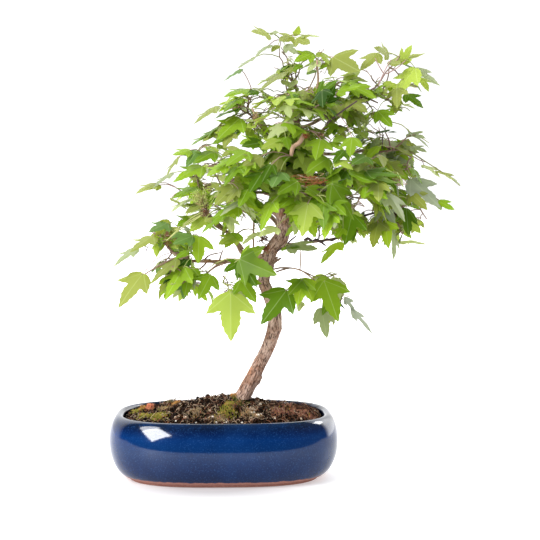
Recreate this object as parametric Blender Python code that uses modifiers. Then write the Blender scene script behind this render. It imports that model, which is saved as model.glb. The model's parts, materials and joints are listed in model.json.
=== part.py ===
"""A trident maple bonsai in a blue glazed oval pot, modelled as separate solids.

Metres, +Z up. The origin is the middle of the pot's flat underside, and the tree's front looks along -Y.
The tables of stations and masses are in millimetres, and MM turns them into metres.
"""

import math
import random
from collections import namedtuple

import bmesh
import bpy
from mathutils import Matrix, Vector
from mathutils.bvhtree import BVHTree

MM = 0.001
GAP = 0.3 * MM  # clearance between neighbouring solids
UP = Vector((0.0, 0.0, 1.0))

# Pot: an oval of this half width, squared off by an exponent and narrower front to back
POT_HALF_WIDTH = 100 * MM
POT_DEPTH_RATIO = 0.72
POT_SQUARENESS = 2.8
POT_HEIGHT = 55 * MM
POT_SIDES = 40
FOOT_HALF_WIDTH = 82.5 * MM
FOOT_HEIGHT = 2 * MM
BELLY_HEIGHT = 33 * MM
LIP_RADIUS = 3.3 * MM
LIP_HALF_WIDTH = 90.2 * MM
WALL = 7 * MM
FLOOR = 8 * MM

# Soil: a mound that is highest at the trunk's foot
SOIL_EDGE_HEIGHT = 50 * MM
SOIL_MOUND = 15.7 * MM
SOIL_SPREAD = (62 * MM, 44 * MM)
SOIL_LUMP = 0.8 * MM
LUMPS_ACROSS = 210.0
LUMPS_DEEP = 260.0
LUMPS_SLANTED = 430.0
SOIL_RINGS = 6
FOOT_CLEARING = 15 * MM

# Trunk: x, y, z and radius at stations up its middle line, in millimetres
GROUND = 66 * MM
TRUNK_STATIONS = (
    (13.5, 0.0, 56.0, 8.4),
    (17.0, 0.0, 66.0, 8.2),
    (30.0, -2.0, 98.0, 7.6),
    (43.5, -4.0, 130.0, 5.9),
    (41.0, 0.0, 149.0, 5.2),
    (35.5, 4.0, 171.0, 5.1),
    (41.0, 4.0, 194.0, 5.6),
    (51.5, 0.0, 211.0, 6.1),
    (54.0, -3.0, 231.0, 6.5),
    (55.0, 0.0, 252.0, 4.7),
    (59.5, 4.0, 282.0, 3.0),
    (64.0, 2.0, 302.0, 2.4),
    (63.5, 0.0, 332.0, 1.4),
)
STATION_STEPS = 3
TRUNK_DETAIL = 3
ROOT_FLARE = 0.30
ROOT_FLARE_HEIGHT = 9 * MM
ROOT_LOBES = 5
ROOT_LOBE_DEPTH = 0.09

# Stubs and knots of old cuts on the trunk
Knot = namedtuple("Knot", "height compass rise length base tip")
KNOTS = (
    Knot(88, -12, 25, 12.0, 3.4, 2.2),
    Knot(226, 205, 40, 9.0, 4.2, 3.0),
    Knot(181, -8, 42, 14.0, 1.9, 1.0),
)

# Boughs and the foliage they carry. Each row has the middle and half sizes of the space that the foliage
# keeps to, the height where its bough leaves the trunk, how far that bough arches up, and its thickness,
# in millimetres.
Mass = namedtuple("Mass", "name middle half leaves_trunk arch girth")
MASSES = (
    Mass("apex", (60, 0, 346), (48, 46, 43), None, 0, 0),
    Mass("upper_left", (20, -6, 316), (48, 46, 40), 277, 6, 1.9),
    Mass("upper_right", (142, 2, 333), (50, 46, 43), 293, -9, 1.8),
    Mass("upper_middle", (102, -6, 320), (42, 44, 38), 302, -2, 1.5),
    Mass("left_middle", (-24, 6, 266), (52, 48, 38), 196, 6, 2.2),
    Mass("left_low", (-48, -6, 202), (51, 48, 34), 184, -4, 2.7),
    Mass("left_hanging", (-34, -26, 170), (50, 42, 28), 177, 4, 1.7),
    Mass("middle_hanging", (2, -22, 155), (38, 38, 39), 167, 6, 1.6),
    Mass("middle_left", (12, 2, 236), (42, 44, 34), 224, 5, 1.7),
    Mass("middle", (57, -34, 268), (44, 40, 38), 254, 2, 1.8),
    Mass("middle_right", (97, -6, 230), (42, 42, 34), 238, 4, 1.8),
    Mass("right_middle", (150, 0, 284), (51, 46, 37), 264, -9, 2.1),
    Mass("right_low", (156, -4, 230), (52, 46, 38), 204, 3, 2.5),
    Mass("right_hanging", (86, -10, 157), (53, 44, 37), 179, 10, 1.6),
    Mass("front_left", (12, -58, 250), (46, 44, 38), 240, 2, 1.7),
    Mass("front_middle", (62, -70, 230), (44, 42, 38), 218, 6, 1.8),
    Mass("front_right", (116, -58, 254), (46, 44, 40), 248, 3, 1.7),
    Mass("front_upper", (58, -52, 310), (46, 42, 38), 270, 4, 1.6),
    Mass("back_left", (0, 62, 248), (52, 46, 42), 212, 6, 2.0),
    Mass("back_right", (108, 70, 240), (52, 46, 44), 221, 4, 2.1),
    Mass("back_upper", (66, 56, 310), (46, 44, 42), 266, 5, 1.8),
    Mass("back_far_right", (146, 52, 284), (46, 42, 40), 284, -4, 1.7),
)
# The furthest leaf tips that make the crown's outline, in millimetres, by the mass they grow from
OUTLINE_TIPS = {
    "left_low": ((-97, -4, 188),),
    "left_hanging": ((-80, -34, 158),),
    "left_middle": ((-74, 4, 246), (-66, 0, 284)),
    "upper_left": ((-23, -6, 308), (0, -6, 336)),
    "apex": ((24, 0, 376), (62, -6, 388), (90, 4, 374)),
    "upper_right": ((126, 0, 368), (164, 2, 370), (188, 2, 340)),
    "right_middle": ((182, 0, 308), (200, 0, 272)),
    "right_low": ((206, -4, 240), (178, -4, 199)),
    "right_hanging": ((133, -8, 140), (90, -12, 121)),
    "middle_hanging": ((8, -26, 118),),
    "front_middle": ((60, -110, 222),),
    "back_right": ((110, 112, 236),),
    "back_left": ((-20, 104, 240),),
}
BOUGH_STEPS = 4
BOUGH_DETAIL = 1
BOUGH_TIP_GIRTH = 1.15
BOUGH_SWAY = 2.5 * MM
MASS_ENTRY = 0.36  # a bough's tip lies at this part of its mass's half size from the middle

# Twigs and leaves
TWIG_SIDES = 3
TWIG_GIRTH = 1.1 * MM
TWIG_TIP_GIRTH = 0.8 * MM
STEM_STRAIGHT = 2 * MM  # a mass's stem goes on this far in line with its bough
HUB_SHARE = 0.75  # and ends this part of the way to the mass's middle
SHOOTS_PER_MASS = 7
SHOOT_INSET = 30 * MM  # shoots end this far inside the space's side, to leave room for the leaves
SHOOT_RISE = 0.6
SHOOT_SHARES = (1.0, 0.75, 0.5)
TWIG_SINK = 0.3 * MM
LEAF_LENGTH = 34 * MM
LEAF_STALK = 8 * MM
LEAF_TURNS = (0.0, 118.0, -118.0)
LEAF_FOLLOWS = 1.0  # share of a rising shoot's slope that its leaves keep
LEAF_TRIES = 24
LEAF_LOOSE = 12.0  # degrees that a leaf may turn from its place, and how many more at each new try
LEAF_LOOSER = 3.0
LEAF_ROLL = 35.0
LEAF_SINK = 0.4  # part of the twig tip's radius that a stalk starts behind it
FACE_FRONT = Vector((0.0, -0.4, 0.0))  # how far the outline's leaves face the front
LOW_LEAF = (150 * MM, 62.0)  # the leaves' height and droop in degrees, low and high in the crown
HIGH_LEAF = (350 * MM, 22.0)
LEAF_SHRINK = 0.012  # each new try at a place is this much smaller
SPACE_MARGIN = 0.5 * MM
LIMB_MARGIN = 0.8 * MM
GOLDEN_ANGLE = math.radians(137.508)
# Half of the leaf's outline from its tip round to its stalk: side, length along the leaf and lift,
# in leaf lengths
LEAF_OUTLINE = ((0.0, 1.0, -0.12), (0.15, 0.50, 0.02), (0.50, 0.50, -0.05), (0.042, 0.0, 0.0))
LEAF_RIB = (0.06, 0.028)  # how far along the leaf its thickest point is, and half its thickness there


def clear_scene():
    for item in list(bpy.data.objects):
        bpy.data.objects.remove(item, do_unlink=True)
    for group in list(bpy.data.collections):
        bpy.data.collections.remove(group)


def new_collection(name):
    group = bpy.data.collections.new(name)
    bpy.context.scene.collection.children.link(group)
    return group


def finish_material(name, colour, roughness, coat=0.0):
    finish = bpy.data.materials.new(name)
    finish.use_nodes = True
    shader = finish.node_tree.nodes["Principled BSDF"]
    shader.inputs["Base Color"].default_value = (*colour, 1.0)
    shader.inputs["Roughness"].default_value = roughness
    shader.inputs["Coat Weight"].default_value = coat
    return finish


def mesh_object(name, mesh, group, finish=None):
    item = bpy.data.objects.new(name, mesh)
    group.objects.link(item)
    if finish:
        mesh.materials.clear()
        mesh.materials.append(finish)
    return item


def evaluated_mesh(item):
    graph = bpy.context.evaluated_depsgraph_get()
    return bpy.data.meshes.new_from_object(item.evaluated_get(graph))


def weld(mesh):
    work = bmesh.new()
    work.from_mesh(mesh)
    bmesh.ops.remove_doubles(work, verts=work.verts, dist=1e-6)
    work.to_mesh(mesh)
    work.free()


# Pot and soil

def arc(middle, radii, start, end, steps):
    """Points on an elliptical arc in the profile's plane, from one angle to another in degrees."""
    turn = [math.radians(start + (end - start) * step / steps) for step in range(steps + 1)]
    return [(middle[0] + radii[0] * math.cos(a), middle[1] + radii[1] * math.sin(a)) for a in turn]


def pot_profile():
    """From the middle of the inner floor, up the inside, over the lip and down the outside to the foot."""
    belly_inside = POT_HALF_WIDTH - WALL
    lip_height = POT_HEIGHT - LIP_RADIUS
    lip_inside = LIP_HALF_WIDTH - LIP_RADIUS
    inside_foot = FOOT_HALF_WIDTH - WALL
    lower = arc((inside_foot, BELLY_HEIGHT), (belly_inside - inside_foot, BELLY_HEIGHT - FLOOR), -90, 0, 3)
    upper = arc((lip_inside, BELLY_HEIGHT), (belly_inside - lip_inside, lip_height - BELLY_HEIGHT), 0, 90, 3)
    lip = arc((LIP_HALF_WIDTH, lip_height), (LIP_RADIUS, LIP_RADIUS), 180, 20, 4)
    shoulder_width = POT_HALF_WIDTH - lip[-1][0]
    shoulder_height = lip[-1][1] - BELLY_HEIGHT
    shoulder = arc((lip[-1][0], BELLY_HEIGHT), (shoulder_width, shoulder_height), 90, 0, 3)
    foot_curve = (POT_HALF_WIDTH - FOOT_HALF_WIDTH, BELLY_HEIGHT - FOOT_HEIGHT)
    body = arc((FOOT_HALF_WIDTH, BELLY_HEIGHT), foot_curve, 0, -90, 5)
    inside = [(0.0, FLOOR)] + lower + upper[1:] + lip[1:]
    return inside + shoulder[1:] + body[1:] + [(FOOT_HALF_WIDTH, 0.0), (0.0, 0.0)]


def soil_profile():
    """From the middle of the top, out to the wall and down inside it to the middle of the underside."""
    belly = POT_HALF_WIDTH - WALL - GAP / POT_DEPTH_RATIO
    edge = LIP_HALF_WIDTH - LIP_RADIUS - GAP / POT_DEPTH_RATIO
    foot = FOOT_HALF_WIDTH - WALL - GAP / POT_DEPTH_RATIO
    top = [(edge * ring / SOIL_RINGS, SOIL_EDGE_HEIGHT) for ring in range(SOIL_RINGS + 1)]
    upper = arc((edge, BELLY_HEIGHT), (belly - edge, SOIL_EDGE_HEIGHT - BELLY_HEIGHT), 90, 0, 2)
    lower = arc((foot, BELLY_HEIGHT), (belly - foot, BELLY_HEIGHT - FLOOR - GAP), 0, -90, 3)
    return top + upper[1:] + lower[1:] + [(0.0, FLOOR + GAP)]


def turned_oval(name, profile, group, finish):
    """Turns a profile round Z and presses the round shape into the pot's squared oval."""
    mesh = bpy.data.meshes.new(name)
    mesh.from_pydata([(radius, 0.0, height) for radius, height in profile],
                     [(i, i + 1) for i in range(len(profile) - 1)], [])
    item = mesh_object(name, mesh, group)
    screw = item.modifiers.new("turn", "SCREW")
    screw.steps = POT_SIDES
    screw.render_steps = POT_SIDES
    screw.use_merge_vertices = True
    screw.merge_threshold = 0.00005
    item.data = evaluated_mesh(item)
    item.modifiers.clear()
    weld(item.data)
    for vertex in item.data.vertices:
        turn = math.atan2(vertex.co.y, vertex.co.x)
        power = abs(math.cos(turn)) ** POT_SQUARENESS + abs(math.sin(turn)) ** POT_SQUARENESS
        squared = power ** (-1.0 / POT_SQUARENESS)
        vertex.co.x *= squared
        vertex.co.y *= squared * POT_DEPTH_RATIO
    item.data.materials.append(finish)
    return item


def mound(x, y):
    """Height of the soil's top: a mound about the trunk's foot, with lumps, level just under the foot."""
    foot = Vector((TRUNK_STATIONS[1][0] * MM, TRUNK_STATIONS[1][1] * MM))
    away = Vector((x, y)) - foot
    spread = math.exp(-((away.x / SOIL_SPREAD[0]) ** 2 + (away.y / SOIL_SPREAD[1]) ** 2))
    lump = math.sin(x * LUMPS_ACROSS) * math.cos(y * LUMPS_DEEP) + math.sin((x + y) * LUMPS_SLANTED) / 2
    clear = min(1.0, max(0.0, away.length / FOOT_CLEARING - 1.0))
    height = SOIL_EDGE_HEIGHT + SOIL_MOUND * spread + SOIL_LUMP * lump * clear
    return GROUND - GAP if away.length < FOOT_CLEARING else min(height, GROUND - GAP)


def make_soil(group, finish):
    item = turned_oval("soil", soil_profile(), group, finish)
    rim = LIP_HALF_WIDTH - LIP_RADIUS
    for vertex in item.data.vertices:
        on_top = abs(vertex.co.z - SOIL_EDGE_HEIGHT) < 1e-5
        inside = math.hypot(vertex.co.x, vertex.co.y / POT_DEPTH_RATIO) < rim * (1.0 - 0.5 / SOIL_RINGS)
        if on_top and inside:
            vertex.co.z = mound(vertex.co.x, vertex.co.y)
    return item


# Trunk and boughs

def smooth_stations(stations, steps):
    """Points on a smooth curve through rows of numbers, with a few steps between each two rows."""
    rows = [stations[0], *stations, stations[-1]]
    points = []
    for i in range(1, len(rows) - 2):
        for step in range(steps):
            t = step / steps
            point = []
            for a, b, c, d in zip(rows[i - 1], rows[i], rows[i + 1], rows[i + 2]):
                bend = (2 * a - 5 * b + 4 * c - d) * t * t + (3 * b - a - 3 * c + d) * t ** 3
                point.append(0.5 * (2 * b + (c - a) * t + bend))
            points.append(point)
    return points + [list(stations[-1])]


TRUNK_LINE = [(Vector(row[:3]) * MM, row[3] * MM) for row in smooth_stations(TRUNK_STATIONS, STATION_STEPS)]


def trunk_at(height):
    """The middle of the trunk at a height in metres."""
    for (low, _), (high, _) in zip(TRUNK_LINE, TRUNK_LINE[1:]):
        if low.z <= height <= high.z:
            return low.lerp(high, (height - low.z) / (high.z - low.z))
    return TRUNK_LINE[-1][0].copy()


def limb(name, points, radii, detail, group, finish=None):
    """A tapering tube with closed ends, made as a curve and kept as a welded mesh."""
    curve = bpy.data.curves.new(name, "CURVE")
    curve.dimensions = "3D"
    curve.bevel_depth = 1.0
    curve.bevel_resolution = detail
    curve.use_fill_caps = True
    spline = curve.splines.new("POLY")
    spline.points.add(len(points) - 1)
    for spot, place, radius in zip(spline.points, points, radii):
        spot.co = (*place, 1.0)
        spot.radius = radius
    guide = bpy.data.objects.new(name, curve)
    group.objects.link(guide)
    bpy.context.view_layer.update()
    mesh = evaluated_mesh(guide)
    bpy.data.objects.remove(guide)
    weld(mesh)
    mesh.name = name
    return mesh_object(name, mesh, group, finish)


def cone(name, start, end, radius_start, radius_end, sides, group, finish=None):
    """A straight cone between two points, with closed ends."""
    along = end - start
    place = Matrix.Translation((start + end) / 2) @ along.to_track_quat("Z", "Y").to_matrix().to_4x4()
    work = bmesh.new()
    bmesh.ops.create_cone(work, cap_ends=True, segments=sides, radius1=radius_start, radius2=radius_end,
                          depth=along.length, matrix=place)
    mesh = bpy.data.meshes.new(name)
    work.to_mesh(mesh)
    work.free()
    return mesh_object(name, mesh, group, finish)


def join_all(item, pieces):
    """One union of an object with every object in a collection, applied, with those objects then removed."""
    union = item.modifiers.new("join", "BOOLEAN")
    union.operation = "UNION"
    union.operand_type = "COLLECTION"
    union.collection = pieces
    union.solver = "EXACT"
    joined = evaluated_mesh(item)
    item.modifiers.clear()
    item.data = joined
    for piece in list(pieces.objects):
        bpy.data.objects.remove(piece)
    bpy.data.collections.remove(pieces)


def heading(compass, rise):
    """A direction from a compass turn from +X and a rise above level, in degrees."""
    turn, lift = math.radians(compass), math.radians(rise)
    return Vector((math.cos(turn) * math.cos(lift), math.sin(turn) * math.cos(lift), math.sin(lift)))


def trunk_tube(name, extra, group, finish=None):
    """The trunk's tube, fatter than the trunk by an extra, with the root flare at its foot."""
    item = limb(name, [place for place, _ in TRUNK_LINE], [radius + extra for _, radius in TRUNK_LINE],
                TRUNK_DETAIL, group, finish)
    for vertex in item.data.vertices:
        middle = trunk_at(vertex.co.z)
        away = vertex.co - middle
        lobe = math.cos(ROOT_LOBES * math.atan2(away.y, away.x))
        near_ground = math.exp(-max(0.0, vertex.co.z - GROUND) / ROOT_FLARE_HEIGHT)
        widen = 1.0 + near_ground * (ROOT_FLARE + ROOT_LOBE_DEPTH * lobe)
        vertex.co.x = middle.x + away.x * widen
        vertex.co.y = middle.y + away.y * widen
    return item


def cut_level(item, height):
    """Cuts an object flat at a height and keeps what is above."""
    work = bmesh.new()
    work.from_mesh(item.data)
    everything = work.verts[:] + work.edges[:] + work.faces[:]
    cut = bmesh.ops.bisect_plane(work, geom=everything, plane_co=(0, 0, height), plane_no=UP,
                                 clear_inner=True)
    rim = [edge for edge in cut["geom_cut"] if isinstance(edge, bmesh.types.BMEdge)]
    bmesh.ops.edgeloop_fill(work, edges=rim)
    bmesh.ops.recalc_face_normals(work, faces=work.faces)
    work.to_mesh(item.data)
    work.free()


def make_trunk(group, finish):
    item = trunk_tube("trunk", 0.0, group, finish)
    cut_level(item, GROUND)
    knots = new_collection("knots")
    for number, knot in enumerate(KNOTS):
        start = trunk_at(knot.height * MM)
        end = start + heading(knot.compass, knot.rise) * knot.length * MM
        cone(f"knot_{number}", start, end, knot.base * MM, knot.tip * MM, 8, knots)
    join_all(item, knots)
    return item


def bough_line(mass):
    """Points and radii of the bough that carries a mass, from inside the trunk to its tip in the mass."""
    middle = Vector(mass.middle) * MM
    start = trunk_at(mass.leaves_trunk * MM)
    toward = (start - middle).normalized()
    depth = 1.0 / math.sqrt(sum((part / (size * MM)) ** 2 for part, size in zip(toward, mass.half)))
    tip = middle + toward * depth * MASS_ENTRY
    side = (tip - start).cross(UP).normalized()
    points, radii = [], []
    for step in range(BOUGH_STEPS + 1):
        t = step / BOUGH_STEPS
        arched = UP * mass.arch * MM * 4 * t * (1 - t)
        swayed = side * BOUGH_SWAY * math.sin(2 * math.pi * t)
        points.append(start.lerp(tip, t) + arched + swayed)
        radii.append((mass.girth + (BOUGH_TIP_GIRTH - mass.girth) * t) * MM)
    return points, radii


def make_bough(mass, cutter, group, finish):
    points, radii = bough_line(mass)
    item = limb("bough_" + mass.name, points, radii, BOUGH_DETAIL, group, finish)
    trim = item.modifiers.new("clear_of_trunk", "BOOLEAN")
    trim.operation = "DIFFERENCE"
    trim.object = cutter
    return item


# Foliage

def in_space(mass, point):
    """True in the mass's own space: its ellipsoid, on its side of the plane to every other mass."""
    offset = point - Vector(mass.middle) * MM
    if sum((part / (size * MM)) ** 2 for part, size in zip(offset, mass.half)) > 1.0:
        return False
    own = power_distance(mass, point)
    for other in MASSES:
        if other is not mass:
            apart = (Vector(other.middle) - Vector(mass.middle)).length * MM
            if (power_distance(other, point) - own) / (2 * apart) < SPACE_MARGIN:
                return False
    return True


def power_distance(mass, point):
    """Squared distance to the mass's middle less its squared mean half size, which makes flat cell sides."""
    mean = (mass.half[0] * mass.half[1] * mass.half[2]) ** (1 / 3) * MM
    return (point - Vector(mass.middle) * MM).length_squared - mean ** 2


def leaf_mesh(name, root, along, face, size):
    """A three-lobed leaf on its stalk: an eight-sided double cone whose ring is the outline."""
    work = bmesh.new()
    bmesh.ops.create_uvsphere(work, u_segments=8, v_segments=2, radius=1.0)
    along = along.normalized()
    side = along.cross(face).normalized()
    lift = side.cross(along)
    base = root + along * LEAF_STALK
    half = list(LEAF_OUTLINE)
    ring = half + [(0.0, -LEAF_STALK / size, 0.0)] + [(-x, y, z) for x, y, z in reversed(half[1:])]
    for vertex in work.verts:
        if abs(vertex.co.z) > 0.5:
            x, y, z = 0.0, LEAF_RIB[0], math.copysign(LEAF_RIB[1], vertex.co.z)
        else:
            corner = round(math.atan2(vertex.co.y, vertex.co.x) / (math.pi / 4)) % 8
            x, y, z = ring[corner]
        vertex.co = base + (side * x + along * y + lift * z) * size
    bmesh.ops.recalc_face_normals(work, faces=work.faces)
    mesh = bpy.data.meshes.new(name)
    work.to_mesh(mesh)
    work.free()
    return mesh


def tree_of(mesh):
    corners = [vertex.co.copy() for vertex in mesh.vertices]
    return BVHTree.FromPolygons(corners, [tuple(face.vertices) for face in mesh.polygons])


def droop_at(height):
    """Leaves at the top spread nearly level, and those at the bottom hang."""
    share = min(1.0, max(0.0, (height - LOW_LEAF[0]) / (HIGH_LEAF[0] - LOW_LEAF[0])))
    return LOW_LEAF[1] + (HIGH_LEAF[1] - LOW_LEAF[1]) * share


def try_leaf(mass, name, root, compass, rise, rng, limbs, placed):
    """A leaf that stays in its space and touches no limb and no leaf of its own mass, or None."""
    for attempt in range(LEAF_TRIES):
        loose = LEAF_LOOSE + LEAF_LOOSER * attempt
        size = LEAF_LENGTH * rng.uniform(0.9, 1.1) * (1.0 - LEAF_SHRINK * attempt)
        turn = compass + rng.uniform(-loose, loose)
        droop = droop_at(root.z) - LEAF_FOLLOWS * max(0.0, rise) + rng.uniform(-loose, loose)
        along = heading(turn, -droop)
        roll = Matrix.Rotation(math.radians(rng.uniform(-LEAF_ROLL, LEAF_ROLL)), 3, along)
        face = roll @ (UP - along * along.dot(UP)).normalized()
        mesh = leaf_mesh(name, root - along * TWIG_TIP_GIRTH * LEAF_SINK, along, face, size)
        tree = tree_of(mesh)
        clear = not tree.overlap(limbs) and not any(tree.overlap(other) for other in placed)
        if clear and all(in_space(mass, vertex.co) for vertex in mesh.vertices):
            placed.append(tree)
            return mesh
        bpy.data.meshes.remove(mesh)
    return None


def outline_leaf(name, hub, tip):
    """A leaf that ends at a named tip, in line with the mass's hub, and the point where its stalk begins."""
    reach = tip - hub
    size = min(LEAF_LENGTH, reach.length - LEAF_STALK - TWIG_GIRTH * 3)
    along = reach.normalized()
    root = tip - along * (LEAF_STALK + size)
    face = (UP - along * along.dot(UP) + FACE_FRONT).normalized()
    return leaf_mesh(name, root, along, face, size), root


def shoot_place(mass, number, share):
    """The end of one shoot, on an even spiral about the mass's middle, drawn in by a share."""
    level = 1.0 - 2.0 * (number + 0.5) / SHOOTS_PER_MASS
    turn = GOLDEN_ANGLE * (number + len(mass.name))
    flat = math.sqrt(1.0 - level * level)
    size = Vector(mass.half) * MM
    way = Vector((
        math.cos(turn) * flat * (size.x - SHOOT_INSET),
        math.sin(turn) * flat * (size.y - SHOOT_INSET),
        level * size.z * SHOOT_RISE,
    ))
    return Vector(mass.middle) * MM + way * share


def twig(name, start, end, pieces):
    """A tapering twig that runs a little into what it grows from and what it carries."""
    over = (end - start).normalized() * TWIG_SINK
    return cone(name, start - over, end + over * 2, TWIG_GIRTH, TWIG_TIP_GIRTH, TWIG_SIDES, pieces)


def try_twig(mass, number, ends, limbs, pieces):
    """Grows a twig from the nearest grown end and gives both its ends, or None where a limb blocks it."""
    for share in SHOOT_SHARES:
        tip = shoot_place(mass, number, share)
        near = min(ends, key=lambda end: (end - tip).length)
        item = twig(f"twig_{number}", near, tip, pieces)
        if in_space(mass, tip) and not tree_of(item.data).overlap(limbs):
            return tip, near
        bpy.data.objects.remove(item)
    return None


def make_mass(mass, carrier, limbs, group, finish):
    """Grows a mass from its limb's tip: a stem, shoots from it and leaves in turns at each shoot's end."""
    rng = random.Random(mass.name)
    points, radii = carrier
    ahead = (points[-1] - points[-2]).normalized()
    root = points[-1] + ahead * GAP
    hub = root.lerp(Vector(mass.middle) * MM, HUB_SHARE)
    line = [root, root + ahead * STEM_STRAIGHT, hub]
    stem = limb(mass.name, line, [radii[-1], radii[-1], TWIG_GIRTH], 0, group, finish)
    pieces = new_collection("pieces_" + mass.name)
    placed = []
    for number, place in enumerate(OUTLINE_TIPS.get(mass.name, ())):
        mesh, tip = outline_leaf(f"outline_leaf_{number}", hub, Vector(place) * MM)
        placed.append(tree_of(mesh))
        mesh_object(mesh.name, mesh, pieces)
        twig(f"outline_twig_{number}", hub, tip, pieces)
    shoots = [(hub, points[-1])]
    for number in range(SHOOTS_PER_MASS):
        grown = try_twig(mass, number, [tip for tip, _ in shoots], limbs, pieces)
        if grown:
            shoots.append(grown)
    for number, (tip, near) in enumerate(shoots):
        out = tip - near
        compass = math.degrees(math.atan2(out.y, out.x))
        rise = math.degrees(math.asin(out.z / out.length))
        for turn in LEAF_TURNS:
            mesh = try_leaf(mass, f"leaf_{number}", tip, compass + turn, rise, rng, limbs, placed)
            if mesh:
                mesh_object(mesh.name, mesh, pieces)
    join_all(stem, pieces)
    stem.data.materials.clear()
    stem.data.materials.append(finish)
    return stem


def main():
    clear_scene()
    parts = new_collection("trident_maple_bonsai")
    cutters = new_collection("cutters")
    glaze = finish_material("blue_glaze", (0.012, 0.045, 0.19), 0.15, 0.6)
    earth = finish_material("potting_soil", (0.09, 0.055, 0.035), 0.95)
    bark = finish_material("bark", (0.30, 0.19, 0.12), 0.85)
    leaf = finish_material("leaf", (0.13, 0.33, 0.04), 0.5)

    turned_oval("pot", pot_profile(), parts, glaze)
    make_soil(parts, earth)
    make_trunk(parts, bark)

    clearance = trunk_tube("trunk_clearance", GAP, cutters)
    clearance.hide_render = True
    clearance.display_type = "WIRE"
    carriers = {"apex": ([place for place, _ in TRUNK_LINE], [radius for _, radius in TRUNK_LINE])}
    for mass in MASSES:
        if mass.leaves_trunk:
            carriers[mass.name] = bough_line(mass)
            make_bough(mass, clearance, parts, bark)

    corners, faces = [], []
    for name, (points, radii) in carriers.items():
        fat = limb("fat_" + name, points, [radius + LIMB_MARGIN for radius in radii], BOUGH_DETAIL, cutters)
        faces += [tuple(len(corners) + corner for corner in face.vertices) for face in fat.data.polygons]
        corners += [vertex.co.copy() for vertex in fat.data.vertices]
        bpy.data.objects.remove(fat)
    limbs = BVHTree.FromPolygons(corners, faces)
    for mass in MASSES:
        make_mass(mass, carriers[mass.name], limbs, parts, leaf)


main()
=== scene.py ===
# %% [markdown]
# # A trident maple bonsai in a blue glazed pot
# The object is a potted tree of about 39 cm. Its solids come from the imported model, which is the fixed
# frame. This lesson gives it its looks: a glazed pot, a mound of peaty soil, fissured bark, twigs, and
# some fifteen hundred three-lobed leaves. Every piece is built in metres where the frame's solids stand.

import json
import math
import random
from collections import namedtuple

import bmesh
import bpy
import numpy as np
from mathutils import Matrix, Vector, noise
from mathutils.kdtree import KDTree

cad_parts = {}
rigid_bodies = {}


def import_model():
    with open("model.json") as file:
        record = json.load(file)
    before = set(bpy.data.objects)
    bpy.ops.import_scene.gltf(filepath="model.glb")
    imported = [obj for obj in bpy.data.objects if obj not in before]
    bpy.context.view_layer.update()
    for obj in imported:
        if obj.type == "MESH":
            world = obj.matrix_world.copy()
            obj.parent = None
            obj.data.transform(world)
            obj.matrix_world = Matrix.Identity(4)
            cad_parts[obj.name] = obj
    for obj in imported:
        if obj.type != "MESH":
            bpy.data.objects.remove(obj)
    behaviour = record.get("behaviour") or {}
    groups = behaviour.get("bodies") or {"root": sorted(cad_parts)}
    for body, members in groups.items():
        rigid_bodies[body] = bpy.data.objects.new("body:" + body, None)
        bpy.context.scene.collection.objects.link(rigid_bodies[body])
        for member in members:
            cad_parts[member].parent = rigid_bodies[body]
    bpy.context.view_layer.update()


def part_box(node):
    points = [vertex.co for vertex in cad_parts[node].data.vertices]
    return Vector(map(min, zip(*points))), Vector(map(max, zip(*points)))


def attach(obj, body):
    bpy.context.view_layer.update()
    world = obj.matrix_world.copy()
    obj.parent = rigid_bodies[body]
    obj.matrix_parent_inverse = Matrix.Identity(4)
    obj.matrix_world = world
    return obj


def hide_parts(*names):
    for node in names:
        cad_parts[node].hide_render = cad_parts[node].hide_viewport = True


for item in list(bpy.data.objects):
    bpy.data.objects.remove(item, do_unlink=True)
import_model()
MM = 0.001
UP = Vector((0.0, 0.0, 1.0))

# %% [markdown]
# ## The camera
# The photograph was taken from a little above the pot's rim with a long lens, so that the tree hardly
# changes size from front to back. The camera could be set by eye, but a fixed lens, distance and tilt let
# the script turn a pixel of the picture into a place beside the tree, and back again.

# %% Camera at the photograph's viewing angle
PICTURE = 540.0  # pixels across and down
CAMERA_LENS = 100.0
CAMERA_SENSOR = 36.0
CAMERA_DISTANCE = 1309 * MM
CAMERA_PITCH = math.radians(4.1)
CAMERA_TURN = math.radians(-2.0)
LOOK_AT = Vector((40.6, 0.0, 179.0)) * MM

BACKWARD = Vector((
    math.sin(CAMERA_TURN) * math.cos(CAMERA_PITCH),
    -math.cos(CAMERA_TURN) * math.cos(CAMERA_PITCH),
    math.sin(CAMERA_PITCH),
))
EYE = LOOK_AT + BACKWARD * CAMERA_DISTANCE
RIGHT = UP.cross(BACKWARD).normalized()
TOP = BACKWARD.cross(RIGHT)
FOCAL = CAMERA_LENS / CAMERA_SENSOR * PICTURE


def new_object(name, data):
    """An object that shows a mesh, a lamp or a camera."""
    made = bpy.data.objects.new(name, data)
    bpy.context.scene.collection.objects.link(made)
    return made


camera_data = bpy.data.cameras.new("photo_camera")
camera_data.lens = CAMERA_LENS
camera_data.sensor_width = CAMERA_SENSOR
camera_data.sensor_fit = "HORIZONTAL"
camera = new_object("photo_camera", camera_data)
camera.location = EYE
camera.rotation_euler = BACKWARD.to_track_quat("Z", "Y").to_euler()
bpy.context.scene.camera = camera
print("camera stands at, in mm:", [round(part / MM) for part in EYE])


# %% Between pixels and places
def ray_of(across, down):
    """The direction in which a pixel of the picture looks, one metre deep."""
    return RIGHT * ((across - PICTURE / 2) / FOCAL) + TOP * ((PICTURE / 2 - down) / FOCAL) - BACKWARD


def place_of(pixel, depth):
    """The place that a pixel shows on the upright plane at a depth in mm. Less is nearer to the camera."""
    ray = ray_of(*pixel)
    return EYE + ray * ((depth * MM - EYE.y) / ray.y)


def pixels_of(places):
    """The pixels at which rows of places show in the picture."""
    away = places - np.array(EYE)
    deep = -(away @ np.array(BACKWARD))
    across = PICTURE / 2 + FOCAL * (away @ np.array(RIGHT)) / deep
    return np.stack([across, PICTURE / 2 - FOCAL * (away @ np.array(TOP)) / deep], axis=1)


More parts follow.
